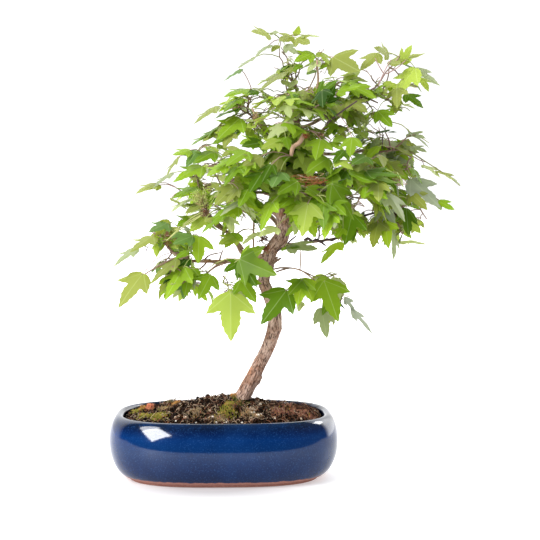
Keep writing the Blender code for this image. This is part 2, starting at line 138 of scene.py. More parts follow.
pot_low, pot_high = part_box("pot")
pot_ends = np.array([[end.x, 0.0, pot_high.z / 2] for end in (pot_low, pot_high)])
print("pot's ends show at pixels:", pixels_of(pot_ends).round())

# %% [markdown]
# ## Floor and light
# The tree was photographed on a white table in a white studio. The floor is one plane, the camera sees a
# white world, and matte surfaces take their light from it, more from the left than from the right. Gloss
# needs something to mirror: a pale wall behind, a dark room in front, a bright right side, and two soft
# lamps that show only in reflections. A sun with a wide angle adds the key light.

# %% Small helpers for nodes
def add_node(tree, kind, settings=None, inputs=None):
    """Adds a shader node with its settings. An input is a plain value or another node's output."""
    made = tree.nodes.new("ShaderNode" + kind)
    for name, value in (settings or {}).items():
        setattr(made, name, value)
    for key, value in (inputs or {}).items():
        if isinstance(value, bpy.types.NodeSocket):
            tree.links.new(value, made.inputs[key])
        else:
            made.inputs[key].default_value = value
    return made


def math_node(tree, operation, first, second=0.0):
    """A sum, product or other reckoning with two values."""
    return add_node(tree, "Math", {"operation": operation}, {0: first, 1: second}).outputs[0]


def map_range(tree, value, low, high, to_low, to_high):
    """A value carried from one range to another, and held at the ends."""
    return add_node(tree, "MapRange", None, {0: value, 1: low, 2: high, 3: to_low, 4: to_high}).outputs[0]


def mix_colour(tree, share, first, second):
    """One colour that turns into another as the share goes from 0 to 1."""
    return add_node(tree, "Mix", {"data_type": "RGBA"}, {0: share, 6: first, 7: second}).outputs[2]


def rgba(colour):
    return (*colour, 1.0)


print("grey as a finish takes it:", rgba((0.5, 0.5, 0.5)))


# %% Studio world
studio = bpy.data.worlds.new("studio")
bpy.context.scene.world = studio
studio.use_nodes = True
tree = studio.node_tree
rays = add_node(tree, "LightPath")
look = add_node(tree, "TexCoord")
look_parts = add_node(tree, "SeparateXYZ", None, {0: look.outputs["Generated"]})
ROOM_DARK = 0.05
WALL_PALE = 1.7
WALL_EDGE = (0.22, 0.42)  # an edge is where a change starts and ends along the way that is looked in
CEILING_GAIN = 2.0
CEILING_EDGE = (0.25, 0.7)
RIGHT_GAIN = 3.7
RIGHT_EDGE = (0.35, 0.85)
STUDIO_GLOW = 1.32
LEFT_GLOW, RIGHT_GLOW = 1.4 * STUDIO_GLOW, 0.5 * STUDIO_GLOW
GLOW_EDGE = (-0.9, 0.9)
wall = map_range(tree, look_parts.outputs["Y"], *WALL_EDGE, ROOM_DARK, WALL_PALE)
ceiling = map_range(tree, look_parts.outputs["Z"], *CEILING_EDGE, 1.0, CEILING_GAIN)
right_side = map_range(tree, look_parts.outputs["X"], *RIGHT_EDGE, 1.0, RIGHT_GAIN)
mirrored = math_node(tree, "MULTIPLY", wall, math_node(tree, "MULTIPLY", ceiling, right_side))
matte = math_node(tree, "SUBTRACT", 1.0, rays.outputs["Is Glossy Ray"])
side_glow = map_range(tree, look_parts.outputs["X"], *GLOW_EDGE, LEFT_GLOW, RIGHT_GLOW)
matte_part = math_node(tree, "MULTIPLY", matte, side_glow)
gloss_part = math_node(tree, "MULTIPLY", rays.outputs["Is Glossy Ray"], mirrored)
lit = math_node(tree, "ADD", matte_part, gloss_part)
seen = math_node(tree, "MAXIMUM", lit, rays.outputs["Is Camera Ray"])
tree.links.new(seen, tree.nodes["Background"].inputs["Strength"])
tree.nodes["Background"].inputs["Color"].default_value = rgba((1.0, 1.0, 1.0))
bpy.context.scene.view_settings.view_transform = "Standard"
print("glow from the left and the right:", LEFT_GLOW, RIGHT_GLOW)


# %% Lamps
def add_lamp(name, kind, energy, toward, place=(0, 0, 1), **settings):
    """A lamp that shines along a direction and doesn't show itself."""
    lamp_data = bpy.data.lights.new(name, kind)
    lamp_data.energy = energy
    for key, value in settings.items():
        setattr(lamp_data, key, value)
    lamp = new_object(name, lamp_data)
    lamp.location = place
    lamp.rotation_euler = (-Vector(toward)).to_track_quat("Z", "Y").to_euler()
    lamp.visible_camera = False
    return lamp


SUN_WAY = (0.80, 0.50, -0.80)
SUN_ANGLE = math.radians(24)
POT_SHOULDER = Vector((-52.5, -66.5, 45.5)) * MM
SOFTBOX_WAY = Vector((-0.62, -0.689, 0.375))
SOFTBOX_TURN = math.radians(38)
RIM_SPOT = Vector((78, 30, 54)) * MM
RIM_LIGHT_WAY = Vector((0.73, 0.27, 0.63))
LAMP_DISTANCE = 1.1
add_lamp("key_sun", "SUN", energy=2.9, toward=SUN_WAY, angle=SUN_ANGLE)
softbox_place = POT_SHOULDER + SOFTBOX_WAY * LAMP_DISTANCE
softbox = add_lamp("softbox", "AREA", energy=36.0, toward=-SOFTBOX_WAY, place=softbox_place,
                   shape="RECTANGLE", size=0.46, size_y=0.62)
softbox.rotation_euler.rotate_axis("Z", SOFTBOX_TURN)
rim_place = RIM_SPOT + RIM_LIGHT_WAY * LAMP_DISTANCE
rim_light = add_lamp("rim_light", "AREA", energy=8.0, toward=-RIM_LIGHT_WAY, place=rim_place,
                     shape="RECTANGLE", size=0.35, size_y=0.3)
for lamp in (softbox, rim_light):
    lamp.visible_diffuse = False
print("lamps:", len(bpy.data.lights))


# %% Pieces and their finishes
DRY_GLOSS = 0.12  # how much a dry surface shines


def new_finish(name):
    """A new material, its node tree and its shader."""
    finish = bpy.data.materials.new(name)
    finish.use_nodes = True
    return finish, finish.node_tree, finish.node_tree.nodes["Principled BSDF"]


def plain_finish(name, colour, roughness, gloss=DRY_GLOSS):
    """A finish of one plain colour."""
    finish, _, shader = new_finish(name)
    shader.inputs["Base Color"].default_value = rgba(colour)
    shader.inputs["Roughness"].default_value = roughness
    shader.inputs["Specular IOR Level"].default_value = gloss
    finish.diffuse_color = rgba(colour)
    return finish


def plain_finishes(name, colours, roughness):
    """A numbered plain finish for each of a few colours."""
    return [plain_finish(f"{name}_{number}", colour, roughness) for number, colour in enumerate(colours)]


Spots = namedtuple("Spots", "scale detail low high most roughness", defaults=(0.5,))


def spots_of(tree, place, spots):
    """Noise, and how much of a second colour it lays: none under its low value and the most over its high."""
    inputs = {"Vector": place, "Scale": spots.scale, "Detail": spots.detail, "Roughness": spots.roughness}
    made = add_node(tree, "TexNoise", None, inputs).outputs[0]
    return made, map_range(tree, made, spots.low, spots.high, 0.0, spots.most)


def add_bump(tree, shader, height, strength, distance):
    """Lets a pattern tilt the surface, as relief that is too fine for the mesh."""
    bump = add_node(tree, "Bump", None, {"Strength": strength, "Distance": distance, "Height": height})
    tree.links.new(bump.outputs[0], shader.inputs["Normal"])


def new_piece(name, work, finishes, replaced=()):
    """Turns a bmesh into a piece that stands at the origin and rides on the body."""
    mesh = bpy.data.meshes.new(name)
    work.to_mesh(mesh)
    work.free()
    for finish in finishes:
        mesh.materials.append(finish)
    piece = new_object(name, mesh)
    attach(piece, "root")
    if replaced:
        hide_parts(*replaced)
    print(name, "has", sum(len(face.vertices) - 2 for face in mesh.polygons), "triangles")


print("gloss of a dry surface:", DRY_GLOSS)

# %% White table
FLOOR_SIZE = 6.0
TABLE_GLOW = 0.75  # the table glows as if lit from below, so that cast shadows wash out and only the painted shadow under the pot is left
# a painted shadow: a grey oval laid on the table under and before the pot
SHADOW_MIDDLE = (-0.008, -0.056, 0.0)
SHADOW_REACH = (0.162, 0.104, 1.0)
SHADOW_CORE = 0.8  # the shadow is even over this share of its reach
TABLE_WHITE = (0.85, 0.85, 0.86)
PAINTED_SHADOW_GREY = (0.36, 0.345, 0.355)
TABLE_ROUGHNESS = 0.6
FLOOR_FRONT = 0.205  # the table ends this far in front of the pot's middle, and the glaze mirrors that edge


def table_finish():
    """White, with a painted shadow: a grey oval before the pot, where the pot keeps the light away."""
    finish, tree, shader = new_finish("white_table")
    place = add_node(tree, "TexCoord").outputs["Object"]
    shift = [-middle / reach for middle, reach in zip(SHADOW_MIDDLE, SHADOW_REACH)]
    scale = [1 / reach for reach in SHADOW_REACH]
    oval = add_node(tree, "Mapping", None, {"Vector": place, "Location": shift, "Scale": scale})
    fade = add_node(tree, "TexGradient", {"gradient_type": "SPHERICAL"}, {"Vector": oval.outputs[0]})
    share = map_range(tree, fade.outputs["Fac"], 0.0, SHADOW_CORE, 0.0, 1.0)
    colour = mix_colour(tree, share, rgba(TABLE_WHITE), rgba(PAINTED_SHADOW_GREY))
    for name in ("Base Color", "Emission Color"):
        tree.links.new(colour, shader.inputs[name])
    shader.inputs["Emission Strength"].default_value = TABLE_GLOW
    shader.inputs["Roughness"].default_value = TABLE_ROUGHNESS
    return finish


floor_work = bmesh.new()
floor_place = Matrix.Translation((0, FLOOR_SIZE / 2 - FLOOR_FRONT, 0))
bmesh.ops.create_grid(floor_work, x_segments=1, y_segments=1, size=FLOOR_SIZE / 2, matrix=floor_place)
floor_mesh = bpy.data.meshes.new("white_table")
floor_work.to_mesh(floor_mesh)
floor_work.free()
floor_mesh.materials.append(table_finish())
table_floor = new_object("white_table", floor_mesh)
print("table is", FLOOR_SIZE, "m wide")

# %% [markdown]
# ## The pot
# The real pot is pressed stoneware: a squared oval with a bellied wall and a round lip, dipped in cobalt
# glaze down to a bare clay foot. A turned profile gives the wall its true section all the way round. It
# could be lathed with a modifier, but a bmesh spin makes the mesh at once, and one formula then presses
# the circle into the oval.

# %% Pot's profile
GAP = 0.3 * MM
POT_HALF_WIDTH = pot_high.x
POT_DEPTH_RATIO = 0.72
POT_SQUARENESS = 2.8
POT_HEIGHT = pot_high.z
POT_SIDES = 160
FOOT_HALF_WIDTH = 82.5 * MM
FOOT_HEIGHT = 2 * MM
BELLY_HEIGHT = 33 * MM
LIP_RADIUS = 3.3 * MM
LIP_HALF_WIDTH = 90.2 * MM
WALL = 7 * MM
FLOOR = 8 * MM
INSIDE_STEPS, LIP_STEPS, SHOULDER_STEPS, BODY_STEPS = 6, 8, 20, 18


def arc(middle, radii, start, end, steps):
    """Points on an elliptical arc in the profile's plane, from one angle to another in degrees."""
    turn = [math.radians(start + (end - start) * step / steps) for step in range(steps + 1)]
    return [(middle[0] + radii[0] * math.cos(a), middle[1] + radii[1] * math.sin(a)) for a in turn]


def pot_profile():
    """From the middle of the inner floor, up the inside, over the lip and down the outside to the foot."""
    belly_inside = POT_HALF_WIDTH - WALL
    lip_height = POT_HEIGHT - LIP_RADIUS
    lip_inside = LIP_HALF_WIDTH - LIP_RADIUS
    inside_foot = FOOT_HALF_WIDTH - WALL
    lower_size = (belly_inside - inside_foot, BELLY_HEIGHT - FLOOR)
    lower = arc((inside_foot, BELLY_HEIGHT), lower_size, -90, 0, INSIDE_STEPS)
    upper_size = (belly_inside - lip_inside, lip_height - BELLY_HEIGHT)
    upper = arc((lip_inside, BELLY_HEIGHT), upper_size, 0, 90, INSIDE_STEPS)
    lip = arc((LIP_HALF_WIDTH, lip_height), (LIP_RADIUS, LIP_RADIUS), 180, 90, LIP_STEPS)
    shoulder_size = (POT_HALF_WIDTH - lip[-1][0], lip[-1][1] - BELLY_HEIGHT)
    shoulder = arc((lip[-1][0], BELLY_HEIGHT), shoulder_size, 90, 0, SHOULDER_STEPS)
    foot_curve = (POT_HALF_WIDTH - FOOT_HALF_WIDTH, BELLY_HEIGHT - FOOT_HEIGHT)
    body = arc((FOOT_HALF_WIDTH, BELLY_HEIGHT), foot_curve, 0, -90, BODY_STEPS)
    inside = [(0.0, FLOOR)] + lower + upper[1:] + lip[1:]
    return inside + shoulder[1:] + body[1:] + [(FOOT_HALF_WIDTH, 0.0), (0.0, 0.0)]


print("points on the pot's profile:", len(pot_profile()))


# %% Turn and press
DOUBLES = 0.02 * MM


def turned_oval(profile, sides):
    """Spins a profile round Z and presses the round shape into the pot's squared oval."""
    work = bmesh.new()
    line = [work.verts.new((radius, 0.0, height)) for radius, height in profile]
    edges = [work.edges.new(pair) for pair in zip(line, line[1:])]
    bmesh.ops.spin(work, geom=line + edges, cent=(0, 0, 0), axis=(0, 0, 1), dvec=(0, 0, 0),
                   angle=math.tau, steps=sides, use_merge=True, use_duplicate=False)
    bmesh.ops.remove_doubles(work, verts=work.verts[:], dist=DOUBLES)
    for vertex in work.verts:
        turn = math.atan2(vertex.co.y, vertex.co.x)
        power = abs(math.cos(turn)) ** POT_SQUARENESS + abs(math.sin(turn)) ** POT_SQUARENESS
        squared = power ** (-1.0 / POT_SQUARENESS)
        vertex.co.x *= squared
        vertex.co.y *= squared * POT_DEPTH_RATIO
    bmesh.ops.recalc_face_normals(work, faces=work.faces[:])
    for face in work.faces:
        face.smooth = True
    return work


pot_work = turned_oval(pot_profile(), POT_SIDES)
print("faces on the pot:", len(pot_work.faces))

# %% [markdown]
# ### Cobalt glaze over clay
# Glaze runs while it melts. It gathers on the belly with soft clouds and fine specks, and stops in a ragged
# line over the bare foot. Its colour is darker under the lip, and darker towards the foot, which is painted
# shade. Height in the object's own coordinates drives all of this, so that the pattern stays put from every
# side.

# %% Glaze finish
# darker towards the foot as painted shade, and darker under the lip
GLAZE_AND_SHADE_RUN = (  # the colour at each share of the height, from the foot to the lip
    (0.0, (0.0016, 0.011, 0.046)),
    (0.30, (0.0016, 0.013, 0.060)),
    (0.55, (0.001, 0.017, 0.072)),
    (0.76, (0.0005, 0.018, 0.090)),
    (0.86, (0.0005, 0.008, 0.045)),
    (0.93, (0.001, 0.006, 0.024)),
    (1.0, (0.006, 0.013, 0.034)),
)
GLAZE_CLOUDS, CLOUD_BLUE = Spots(34.0, 4.0, 0.45, 0.75, 0.4, 0.6), (0.003, 0.034, 0.14)
GLAZE_SPECKS, SPECK_BLUE = Spots(950.0, 2.0, 0.55, 0.72, 0.4), (0.022, 0.075, 0.22)
GLAZE_ROUGHNESS, CLAY_ROUGHNESS = 0.09, 0.8
GLAZE_IOR = 1.36
CLAY_DARK, CLAY_PALE = (0.22, 0.085, 0.065), (0.46, 0.22, 0.17)
CLAY_EDGE = (0.0056, 0.0062)  # metres, between bare clay and glaze
RAGGED = 0.0022
COBALT = (0.003, 0.03, 0.14)


def glaze_finish():
    """Cobalt glaze that changes with height, painted shade included, and stops in a ragged line over the
    clay.
    """
    finish, tree, shader = new_finish("cobalt_glaze")
    place = add_node(tree, "TexCoord").outputs["Object"]
    height = add_node(tree, "SeparateXYZ", None, {0: place}).outputs["Z"]
    share = map_range(tree, height, 0.0, POT_HEIGHT, 0.0, 1.0)
    glaze_and_shade_ramp = add_node(tree, "ValToRGB", None, {0: share})
    run = glaze_and_shade_ramp.color_ramp.elements
    run[0].color, run[1].color = rgba(GLAZE_AND_SHADE_RUN[0][1]), rgba(GLAZE_AND_SHADE_RUN[-1][1])
    for at, colour in GLAZE_AND_SHADE_RUN[1:-1]:
        run.new(at).color = rgba(colour)
    _, cloud_share = spots_of(tree, place, GLAZE_CLOUDS)
    clouded = mix_colour(tree, cloud_share, glaze_and_shade_ramp.outputs["Color"], rgba(CLOUD_BLUE))
    _, speck_share = spots_of(tree, place, GLAZE_SPECKS)
    speckled = mix_colour(tree, speck_share, clouded, rgba(SPECK_BLUE))
    ragged = add_node(tree, "TexNoise", None, {"Vector": place, "Scale": 170.0, "Detail": 3.0})
    edge = math_node(tree, "MULTIPLY_ADD", ragged.outputs[0], RAGGED)
    tree.links.new(height, edge.node.inputs[2])
    bare = map_range(tree, edge, *CLAY_EDGE, 1.0, 0.0)
    clay = add_node(tree, "TexNoise", None, {"Vector": place, "Scale": 700.0, "Detail": 3.0})
    clay_colour = mix_colour(tree, clay.outputs[0], rgba(CLAY_DARK), rgba(CLAY_PALE))
    tree.links.new(mix_colour(tree, bare, speckled, clay_colour), shader.inputs["Base Color"])
    roughness = map_range(tree, bare, 0.0, 1.0, GLAZE_ROUGHNESS, CLAY_ROUGHNESS)
    tree.links.new(roughness, shader.inputs["Roughness"])
    shader.inputs["IOR"].default_value = GLAZE_IOR
    peel = add_node(tree, "TexNoise", None, {"Vector": place, "Scale": 120.0, "Detail": 2.0})
    add_bump(tree, shader, peel.outputs[0], strength=0.06, distance=0.4 * MM)
    finish.diffuse_color = rgba(COBALT)
    return finish


new_piece("glazed_pot", pot_work, [glaze_finish()], ["pot"])

# %% [markdown]
# ## The soil
# Bonsai soil is a mound of dark peat with crumbs, root fibres, a few white grains and moss. A picture of
# soil on a smooth mound looks printed, so the mound is only the bed. Thousands of small crumbs and fibres
# lie on it as real shapes: one crumb or fibre is bent anew for each place and then added to one mesh.

# %% Mound's shape
SOIL_EDGE_HEIGHT = 50 * MM
SOIL_MOUND = 15.7 * MM
SOIL_SPREAD = (62 * MM, 44 * MM)
SOIL_LUMP = 0.8 * MM
GROUND = 66 * MM
FOOT_PLACE = Vector((17.0, 0.0)) * MM
FOOT_CLEARING = 15 * MM
LUMP_WAVES = (210.0, 260.0, 430.0)  # per metre
SOIL_REACH = LIP_HALF_WIDTH - LIP_RADIUS - GAP / POT_DEPTH_RATIO


def mound(x, y):
    """Height of the soil's top at a place: highest at the trunk's foot, with low lumps."""
    away = Vector((x, y)) - FOOT_PLACE
    spread = math.exp(-((away.x / SOIL_SPREAD[0]) ** 2 + (away.y / SOIL_SPREAD[1]) ** 2))
    lump = math.sin(x * LUMP_WAVES[0]) * math.cos(y * LUMP_WAVES[1]) + math.sin((x + y) * LUMP_WAVES[2]) / 2
    clear = min(1.0, max(0.0, away.length / FOOT_CLEARING - 1.0))
    height = SOIL_EDGE_HEIGHT + SOIL_MOUND * spread + SOIL_LUMP * lump * clear
    return GROUND - GAP if away.length < FOOT_CLEARING else min(height, GROUND - GAP)


def oval_share(x, y):
    """How far out a place lies in the pot's oval: 0 in the middle and 1 at the soil's edge."""
    power = abs(x) ** POT_SQUARENESS + abs(y / POT_DEPTH_RATIO) ** POT_SQUARENESS
    return power ** (1.0 / POT_SQUARENESS) / SOIL_REACH


foot_rise = round((mound(*FOOT_PLACE) - SOIL_EDGE_HEIGHT) / MM, 1)
print("soil is", foot_rise, "mm higher at the trunk than at the rim")

# %% Mound
SOIL_RINGS = 46
SOIL_SIDES = 120
SOIL_GRAIN = 0.7 * MM
GRAINS_PER_METRE = 330
SOIL_LUMPS = 3.6 * MM
LUMPS_PER_METRE = 85.0
EDGE_FADE = 8  # lumps and banks fade out over an eighth of the soil's half width
Bank = namedtuple("Bank", "x y reach rise")  # mm
SOIL_BANKS = (
    Bank(-48, 22, 34, 2.0), Bank(-5, 24, 30, 2.0), Bank(44, 4, 30, -4.2), Bank(70, 16, 18, -1.2),
    Bank(-66, -12, 20, 0.3),
)


def soil_profile():
    """From the middle of the top, out to the wall and down inside it to the middle of the underside."""
    belly = POT_HALF_WIDTH - WALL - GAP / POT_DEPTH_RATIO
    foot = FOOT_HALF_WIDTH - WALL - GAP / POT_DEPTH_RATIO
    top = [(SOIL_REACH * ring / SOIL_RINGS, SOIL_EDGE_HEIGHT) for ring in range(SOIL_RINGS + 1)]
    upper = arc((SOIL_REACH, BELLY_HEIGHT), (belly - SOIL_REACH, SOIL_EDGE_HEIGHT - BELLY_HEIGHT), 90, 0, 3)
    lower = arc((foot, BELLY_HEIGHT), (belly - foot, BELLY_HEIGHT - FLOOR - GAP), 0, -90, 4)
    return top + upper[1:] + lower[1:] + [(0.0, FLOOR + GAP)]


def soil_top(x, y):
    """Height of the loose soil: the mound, pushed up into lumps of about a finger's width."""
    inner = min(1.0, max(0.0, (1.0 - oval_share(x, y)) * EDGE_FADE))
    lumps = noise.fractal(Vector((x, y, 0.3)) * LUMPS_PER_METRE, 1.0, 2.0, 3) * SOIL_LUMPS * inner
    for bank in SOIL_BANKS:
        far = ((x / MM - bank.x) ** 2 + (y / MM - bank.y) ** 2) / bank.reach ** 2
        lumps += bank.rise * MM * math.exp(-far) * inner
    return mound(x, y) * inner + SOIL_EDGE_HEIGHT * (1 - inner) + lumps


soil_work = turned_oval(soil_profile(), SOIL_SIDES)
for vertex in soil_work.verts:
    on_top = abs(vertex.co.z - SOIL_EDGE_HEIGHT) < DOUBLES / 2
    if on_top:
        grain = noise.fractal(vertex.co * GRAINS_PER_METRE, 1.0, 2.0, 2) * SOIL_GRAIN
        edge = min(1.0, (1.0 - oval_share(vertex.co.x, vertex.co.y)) * EDGE_FADE)
        vertex.co.z = soil_top(vertex.co.x, vertex.co.y) + grain * edge
print("faces on the mound:", len(soil_work.faces))

# %% Peat
PEAT_GRAINS = Spots(650.0, 4.0, 0.40, 0.62, 1.0)
# near black: the peat's own dark brown, made darker to paint the shade in the gaps between crumbs
PEAT_DARK, PEAT_LIGHT = (0.004, 0.002, 0.001), (0.020, 0.010, 0.005)
PEAT_ROUGHNESS, PEAT_GLOSS = 0.95, 0.02


def peat_finish(name, dark, light):
    """Peat is never one brown: crumbs of two shades mix at about a millimetre."""
    finish, tree, shader = new_finish(name)
    place = add_node(tree, "TexCoord").outputs["Object"]
    grain, share = spots_of(tree, place, PEAT_GRAINS)
    tree.links.new(mix_colour(tree, share, rgba(dark), rgba(light)), shader.inputs["Base Color"])
    shader.inputs["Roughness"].default_value = PEAT_ROUGHNESS
    shader.inputs["Specular IOR Level"].default_value = PEAT_GLOSS
    add_bump(tree, shader, grain, strength=0.8, distance=0.5 * MM)
    finish.diffuse_color = rgba(light)
    return finish


new_piece("soil_mound", soil_work, [peat_finish("peat", PEAT_DARK, PEAT_LIGHT)], ["soil"])


# %% Stamping many small shapes into one mesh
def template_of(work, smooth=True):
    """Keeps a small bmesh as a mesh to stamp, with its corners as rows of numbers."""
    mesh = bpy.data.meshes.new("template")
    for face in work.faces:
        face.smooth = smooth
    work.to_mesh(mesh)
    work.free()
    corners = np.empty(len(mesh.vertices) * 3)
    mesh.vertices.foreach_get("co", corners)
    return mesh, corners.reshape(-1, 3)


def all_of(work):
    """Every corner, edge and face of a bmesh, as its operators want them."""
    return work.verts[:] + work.edges[:] + work.faces[:]


def stamp(work, mesh, corners, finish=0):
    """Adds one more copy of a template to a bmesh, with new places for its corners."""
    mesh.vertices.foreach_set("co", np.asarray(corners, dtype=np.float32).ravel())
    numbers = finish if isinstance(finish, np.ndarray) else np.full(len(mesh.polygons), finish)
    mesh.polygons.foreach_set("material_index", numbers.astype(np.int32))
    work.from_mesh(mesh, face_normals=False, vertex_normals=False)


def tube_template(sides, rings):
    """A straight tube of radius 1 with closed ends, whose height 0 to 1 says how far along a line it is."""
    work = bmesh.new()
    bmesh.ops.create_cone(work, cap_ends=True, segments=sides, radius1=1.0, radius2=1.0, depth=1.0,
                          matrix=Matrix.Translation((0, 0, 0.5)))
    uprights = [edge for edge in work.edges if abs(edge.verts[0].co.z - edge.verts[1].co.z) > 0.5]
    bmesh.ops.subdivide_edges(work, edges=uprights, cuts=rings - 1, use_grid_fill=True)
    return template_of(work)


def unit(rows):
    """Rows of directions, each made one long."""
    return rows / np.linalg.norm(rows, axis=-1, keepdims=True)


def smooth_line(points, count):
    """Even steps on a smooth curve through a few points, which are rows of any length."""
    rows = np.asarray(points, dtype=float)
    padded = np.vstack([2 * rows[0] - rows[1], rows, 2 * rows[-1] - rows[-2]])
    t = np.linspace(0, len(rows) - 1, count)
    part = np.minimum(t.astype(int), len(rows) - 2)
    t = (t - part)[:, None]
    a, b, c, d = padded[part], padded[part + 1], padded[part + 2], padded[part + 3]
    square, cube = (2 * a - 5 * b + 4 * c - d) * t ** 2, (3 * b - a - 3 * c + d) * t ** 3
    return 0.5 * (2 * b + (c - a) * t + square + cube)


def along_line(corners, line, radii, relief=None):
    """Bends a tube template along a line. A relief widens each corner by its own number of metres."""
    rings = len(line) - 1
    ring = np.clip(np.rint(corners[:, 2] * rings).astype(int), 0, rings)
    ahead = unit(np.gradient(line, axis=0))
    start = np.array([0.0, 0.0, 1.0]) if abs(ahead[0][2]) < 0.8 else np.array([1.0, 0.0, 0.0])
    side = [start - ahead[0] * (ahead[0] @ start)]
    for way in ahead[1:]:
        side.append(side[-1] - way * (way @ side[-1]))
    side = unit(np.array(side))
    other = np.cross(ahead, side)
    wide = np.asarray(radii)[ring] * np.linalg.norm(corners[:, :2], axis=1)
    if relief is not None:
        wide = wide + relief
    turn = np.arctan2(corners[:, 1], corners[:, 0])
    across = side[ring] * np.cos(turn)[:, None] + other[ring] * np.sin(turn)[:, None]
    return line[ring] + across * wide[:, None]


def add_tube(work, template, points, radii, finish):
    """Adds a tube along a smooth curve, with a radius for each of its steps, and gives the curve."""
    mesh, corners = template
    line = smooth_line(points, len(radii))
    stamp(work, mesh, along_line(corners, line, radii), finish)
    return line


print("faces on a tube of 5 sides and 6 rings:", len(tube_template(5, 6)[0].polygons))

# %% Crumbs
CRUMBS = 7000
CRUMB_SIZES = (0.4 * MM, 1.25 * MM)
CLOD_SIZE = 2.3 * MM
CLOD_SHARE = 0.07
CRUMB_STRETCH = ((0.6, 1.5), (0.6, 1.2), (0.5, 0.9))
CRUMB_ROUGHNESS = 0.28
CRUMB_FINISHES = (
    ((0.002, 0.001, 0.0005), (0.010, 0.005, 0.003)),
    ((0.006, 0.0022, 0.0008), (0.050, 0.022, 0.009)),
    ((0.026, 0.010, 0.005), (0.165, 0.074, 0.038)),
    ((0.13, 0.088, 0.058), (0.60, 0.47, 0.35)),
    ((0.007, 0.005, 0.004), (0.060, 0.048, 0.038)),
)
CRUMB_ODDS = {"left": (42, 26, 11, 13, 8), "right": (30, 20, 38, 8, 4)}
REDDER_FROM = 42 * MM
REDDER_BLUR = 8 * MM
INSIDE_RIM = 0.985
CLEAR_OF_TRUNK = 9 * MM


def crumb_template():
    """A crumb is a ball of twenty flat faces, which each stamp then dents."""
    work = bmesh.new()
    bmesh.ops.create_icosphere(work, subdivisions=1, radius=1.0)
    return template_of(work, smooth=False)


def random_soil_place(rng, reach=INSIDE_RIM):
    """A seeded place in the oval and inside the rim, clear of the trunk's foot."""
    while True:
        x = rng.uniform(-SOIL_REACH, SOIL_REACH)
        y = rng.uniform(-SOIL_REACH, SOIL_REACH) * POT_DEPTH_RATIO
        if oval_share(x, y) < reach and (Vector((x, y)) - FOOT_PLACE).length > CLEAR_OF_TRUNK:
            return x, y


def random_turn(rng):
    """A seeded turn in any direction, as rows."""
    axis = Vector([rng.gauss(0, 1) for _ in range(3)]).normalized()
    return np.array(Matrix.Rotation(rng.uniform(0, math.tau), 3, axis))


crumb_rng = random.Random(11)
crumb_mesh, crumb_corners = crumb_template()
crumb_work = bmesh.new()
for _ in range(CRUMBS):
    x, y = random_soil_place(crumb_rng)
    size = CLOD_SIZE if crumb_rng.random() < CLOD_SHARE else crumb_rng.uniform(*CRUMB_SIZES)
    size *= crumb_rng.uniform(0.6, 1.0)
    stretch = np.array([crumb_rng.uniform(*span) for span in CRUMB_STRETCH])
    rough = 1 + np.array([[crumb_rng.uniform(-CRUMB_ROUGHNESS, CRUMB_ROUGHNESS)] for _ in crumb_corners])
    place = np.array([x, y, soil_top(x, y) + size * crumb_rng.uniform(0.0, 0.6)])
    odds = CRUMB_ODDS["right" if x + crumb_rng.gauss(0, REDDER_BLUR) > REDDER_FROM else "left"]
    kind = crumb_rng.choices(range(len(CRUMB_FINISHES)), odds)[0]
    shape = (crumb_corners * rough * stretch * size) @ random_turn(crumb_rng).T
    stamp(crumb_work, crumb_mesh, shape + place, kind)
crumb_finishes = [peat_finish(f"crumb_{number}", *pair) for number, pair in enumerate(CRUMB_FINISHES)]
new_piece("soil_crumbs", crumb_work, crumb_finishes)

# %% Fibres
FIBRES = 2200
FIBRE_LENGTHS = (3 * MM, 11 * MM)
FIBRE_RADIUS = 0.19 * MM
FIBRE_STEPS = 5
FIBRE_CURL = 2.2
FIBRE_LYING, FIBRE_STANDING = (0.0, 0.3), (0.4, 0.9)
LYING_SHARE = 0.75
FIBRE_REACH = 0.98  # a fibre's bends stay within this share of the oval
ABOVE_SOIL = 0.8 * MM
FIBRE_COLOURS = ((0.008, 0.004, 0.003), (0.065, 0.028, 0.016), (0.22, 0.092, 0.052), (0.44, 0.32, 0.22))
FIBRE_ODDS = {"left": (5, 4, 2, 3), "right": (3, 5, 6, 2)}
fibre_rng = random.Random(23)
fibre_mesh, fibre_corners = tube_template(3, FIBRE_STEPS)
fibre_work = bmesh.new()
for _ in range(FIBRES):
    x, y = random_soil_place(fibre_rng, 0.97)
    length = fibre_rng.uniform(*FIBRE_LENGTHS)
    compass = fibre_rng.uniform(0, math.tau)
    curl = fibre_rng.uniform(-FIBRE_CURL, FIBRE_CURL)
    lift = fibre_rng.uniform(*(FIBRE_LYING if fibre_rng.random() < LYING_SHARE else FIBRE_STANDING))
    line = []
    for step in range(FIBRE_STEPS + 1):
        t = step / FIBRE_STEPS
        bx = x + math.cos(compass + curl * t) * length * (t - 0.5)
        by = y + math.sin(compass + curl * t) * length * (t - 0.5)
        share = oval_share(bx, by)
        if share > FIBRE_REACH:
            bx, by = bx * FIBRE_REACH / share, by * FIBRE_REACH / share
        line.append((bx, by, soil_top(bx, by) + ABOVE_SOIL + length * lift * t * 0.6))
    radii = np.full(FIBRE_STEPS + 1, FIBRE_RADIUS * fibre_rng.uniform(0.6, 1.5))
    odds = FIBRE_ODDS["right" if x > REDDER_FROM else "left"]
    tint = fibre_rng.choices(range(len(FIBRE_COLOURS)), odds)[0]
    stamp(fibre_work, fibre_mesh, along_line(fibre_corners, np.array(line), radii), tint)
new_piece("soil_fibres", fibre_work, plain_finishes("fibre", FIBRE_COLOURS, 0.85))

# %% [markdown]
# ### Moss and white grains
# Moss sits where the soil stays damp: on the left edge, at the trunk's foot and in a few specks between.
# Each patch is a tuft of small pointed blades, and the white grains are angular crumbs that keep the soil
# airy. The photograph shows where they lie, and a ray from the camera finds those places on the mound.

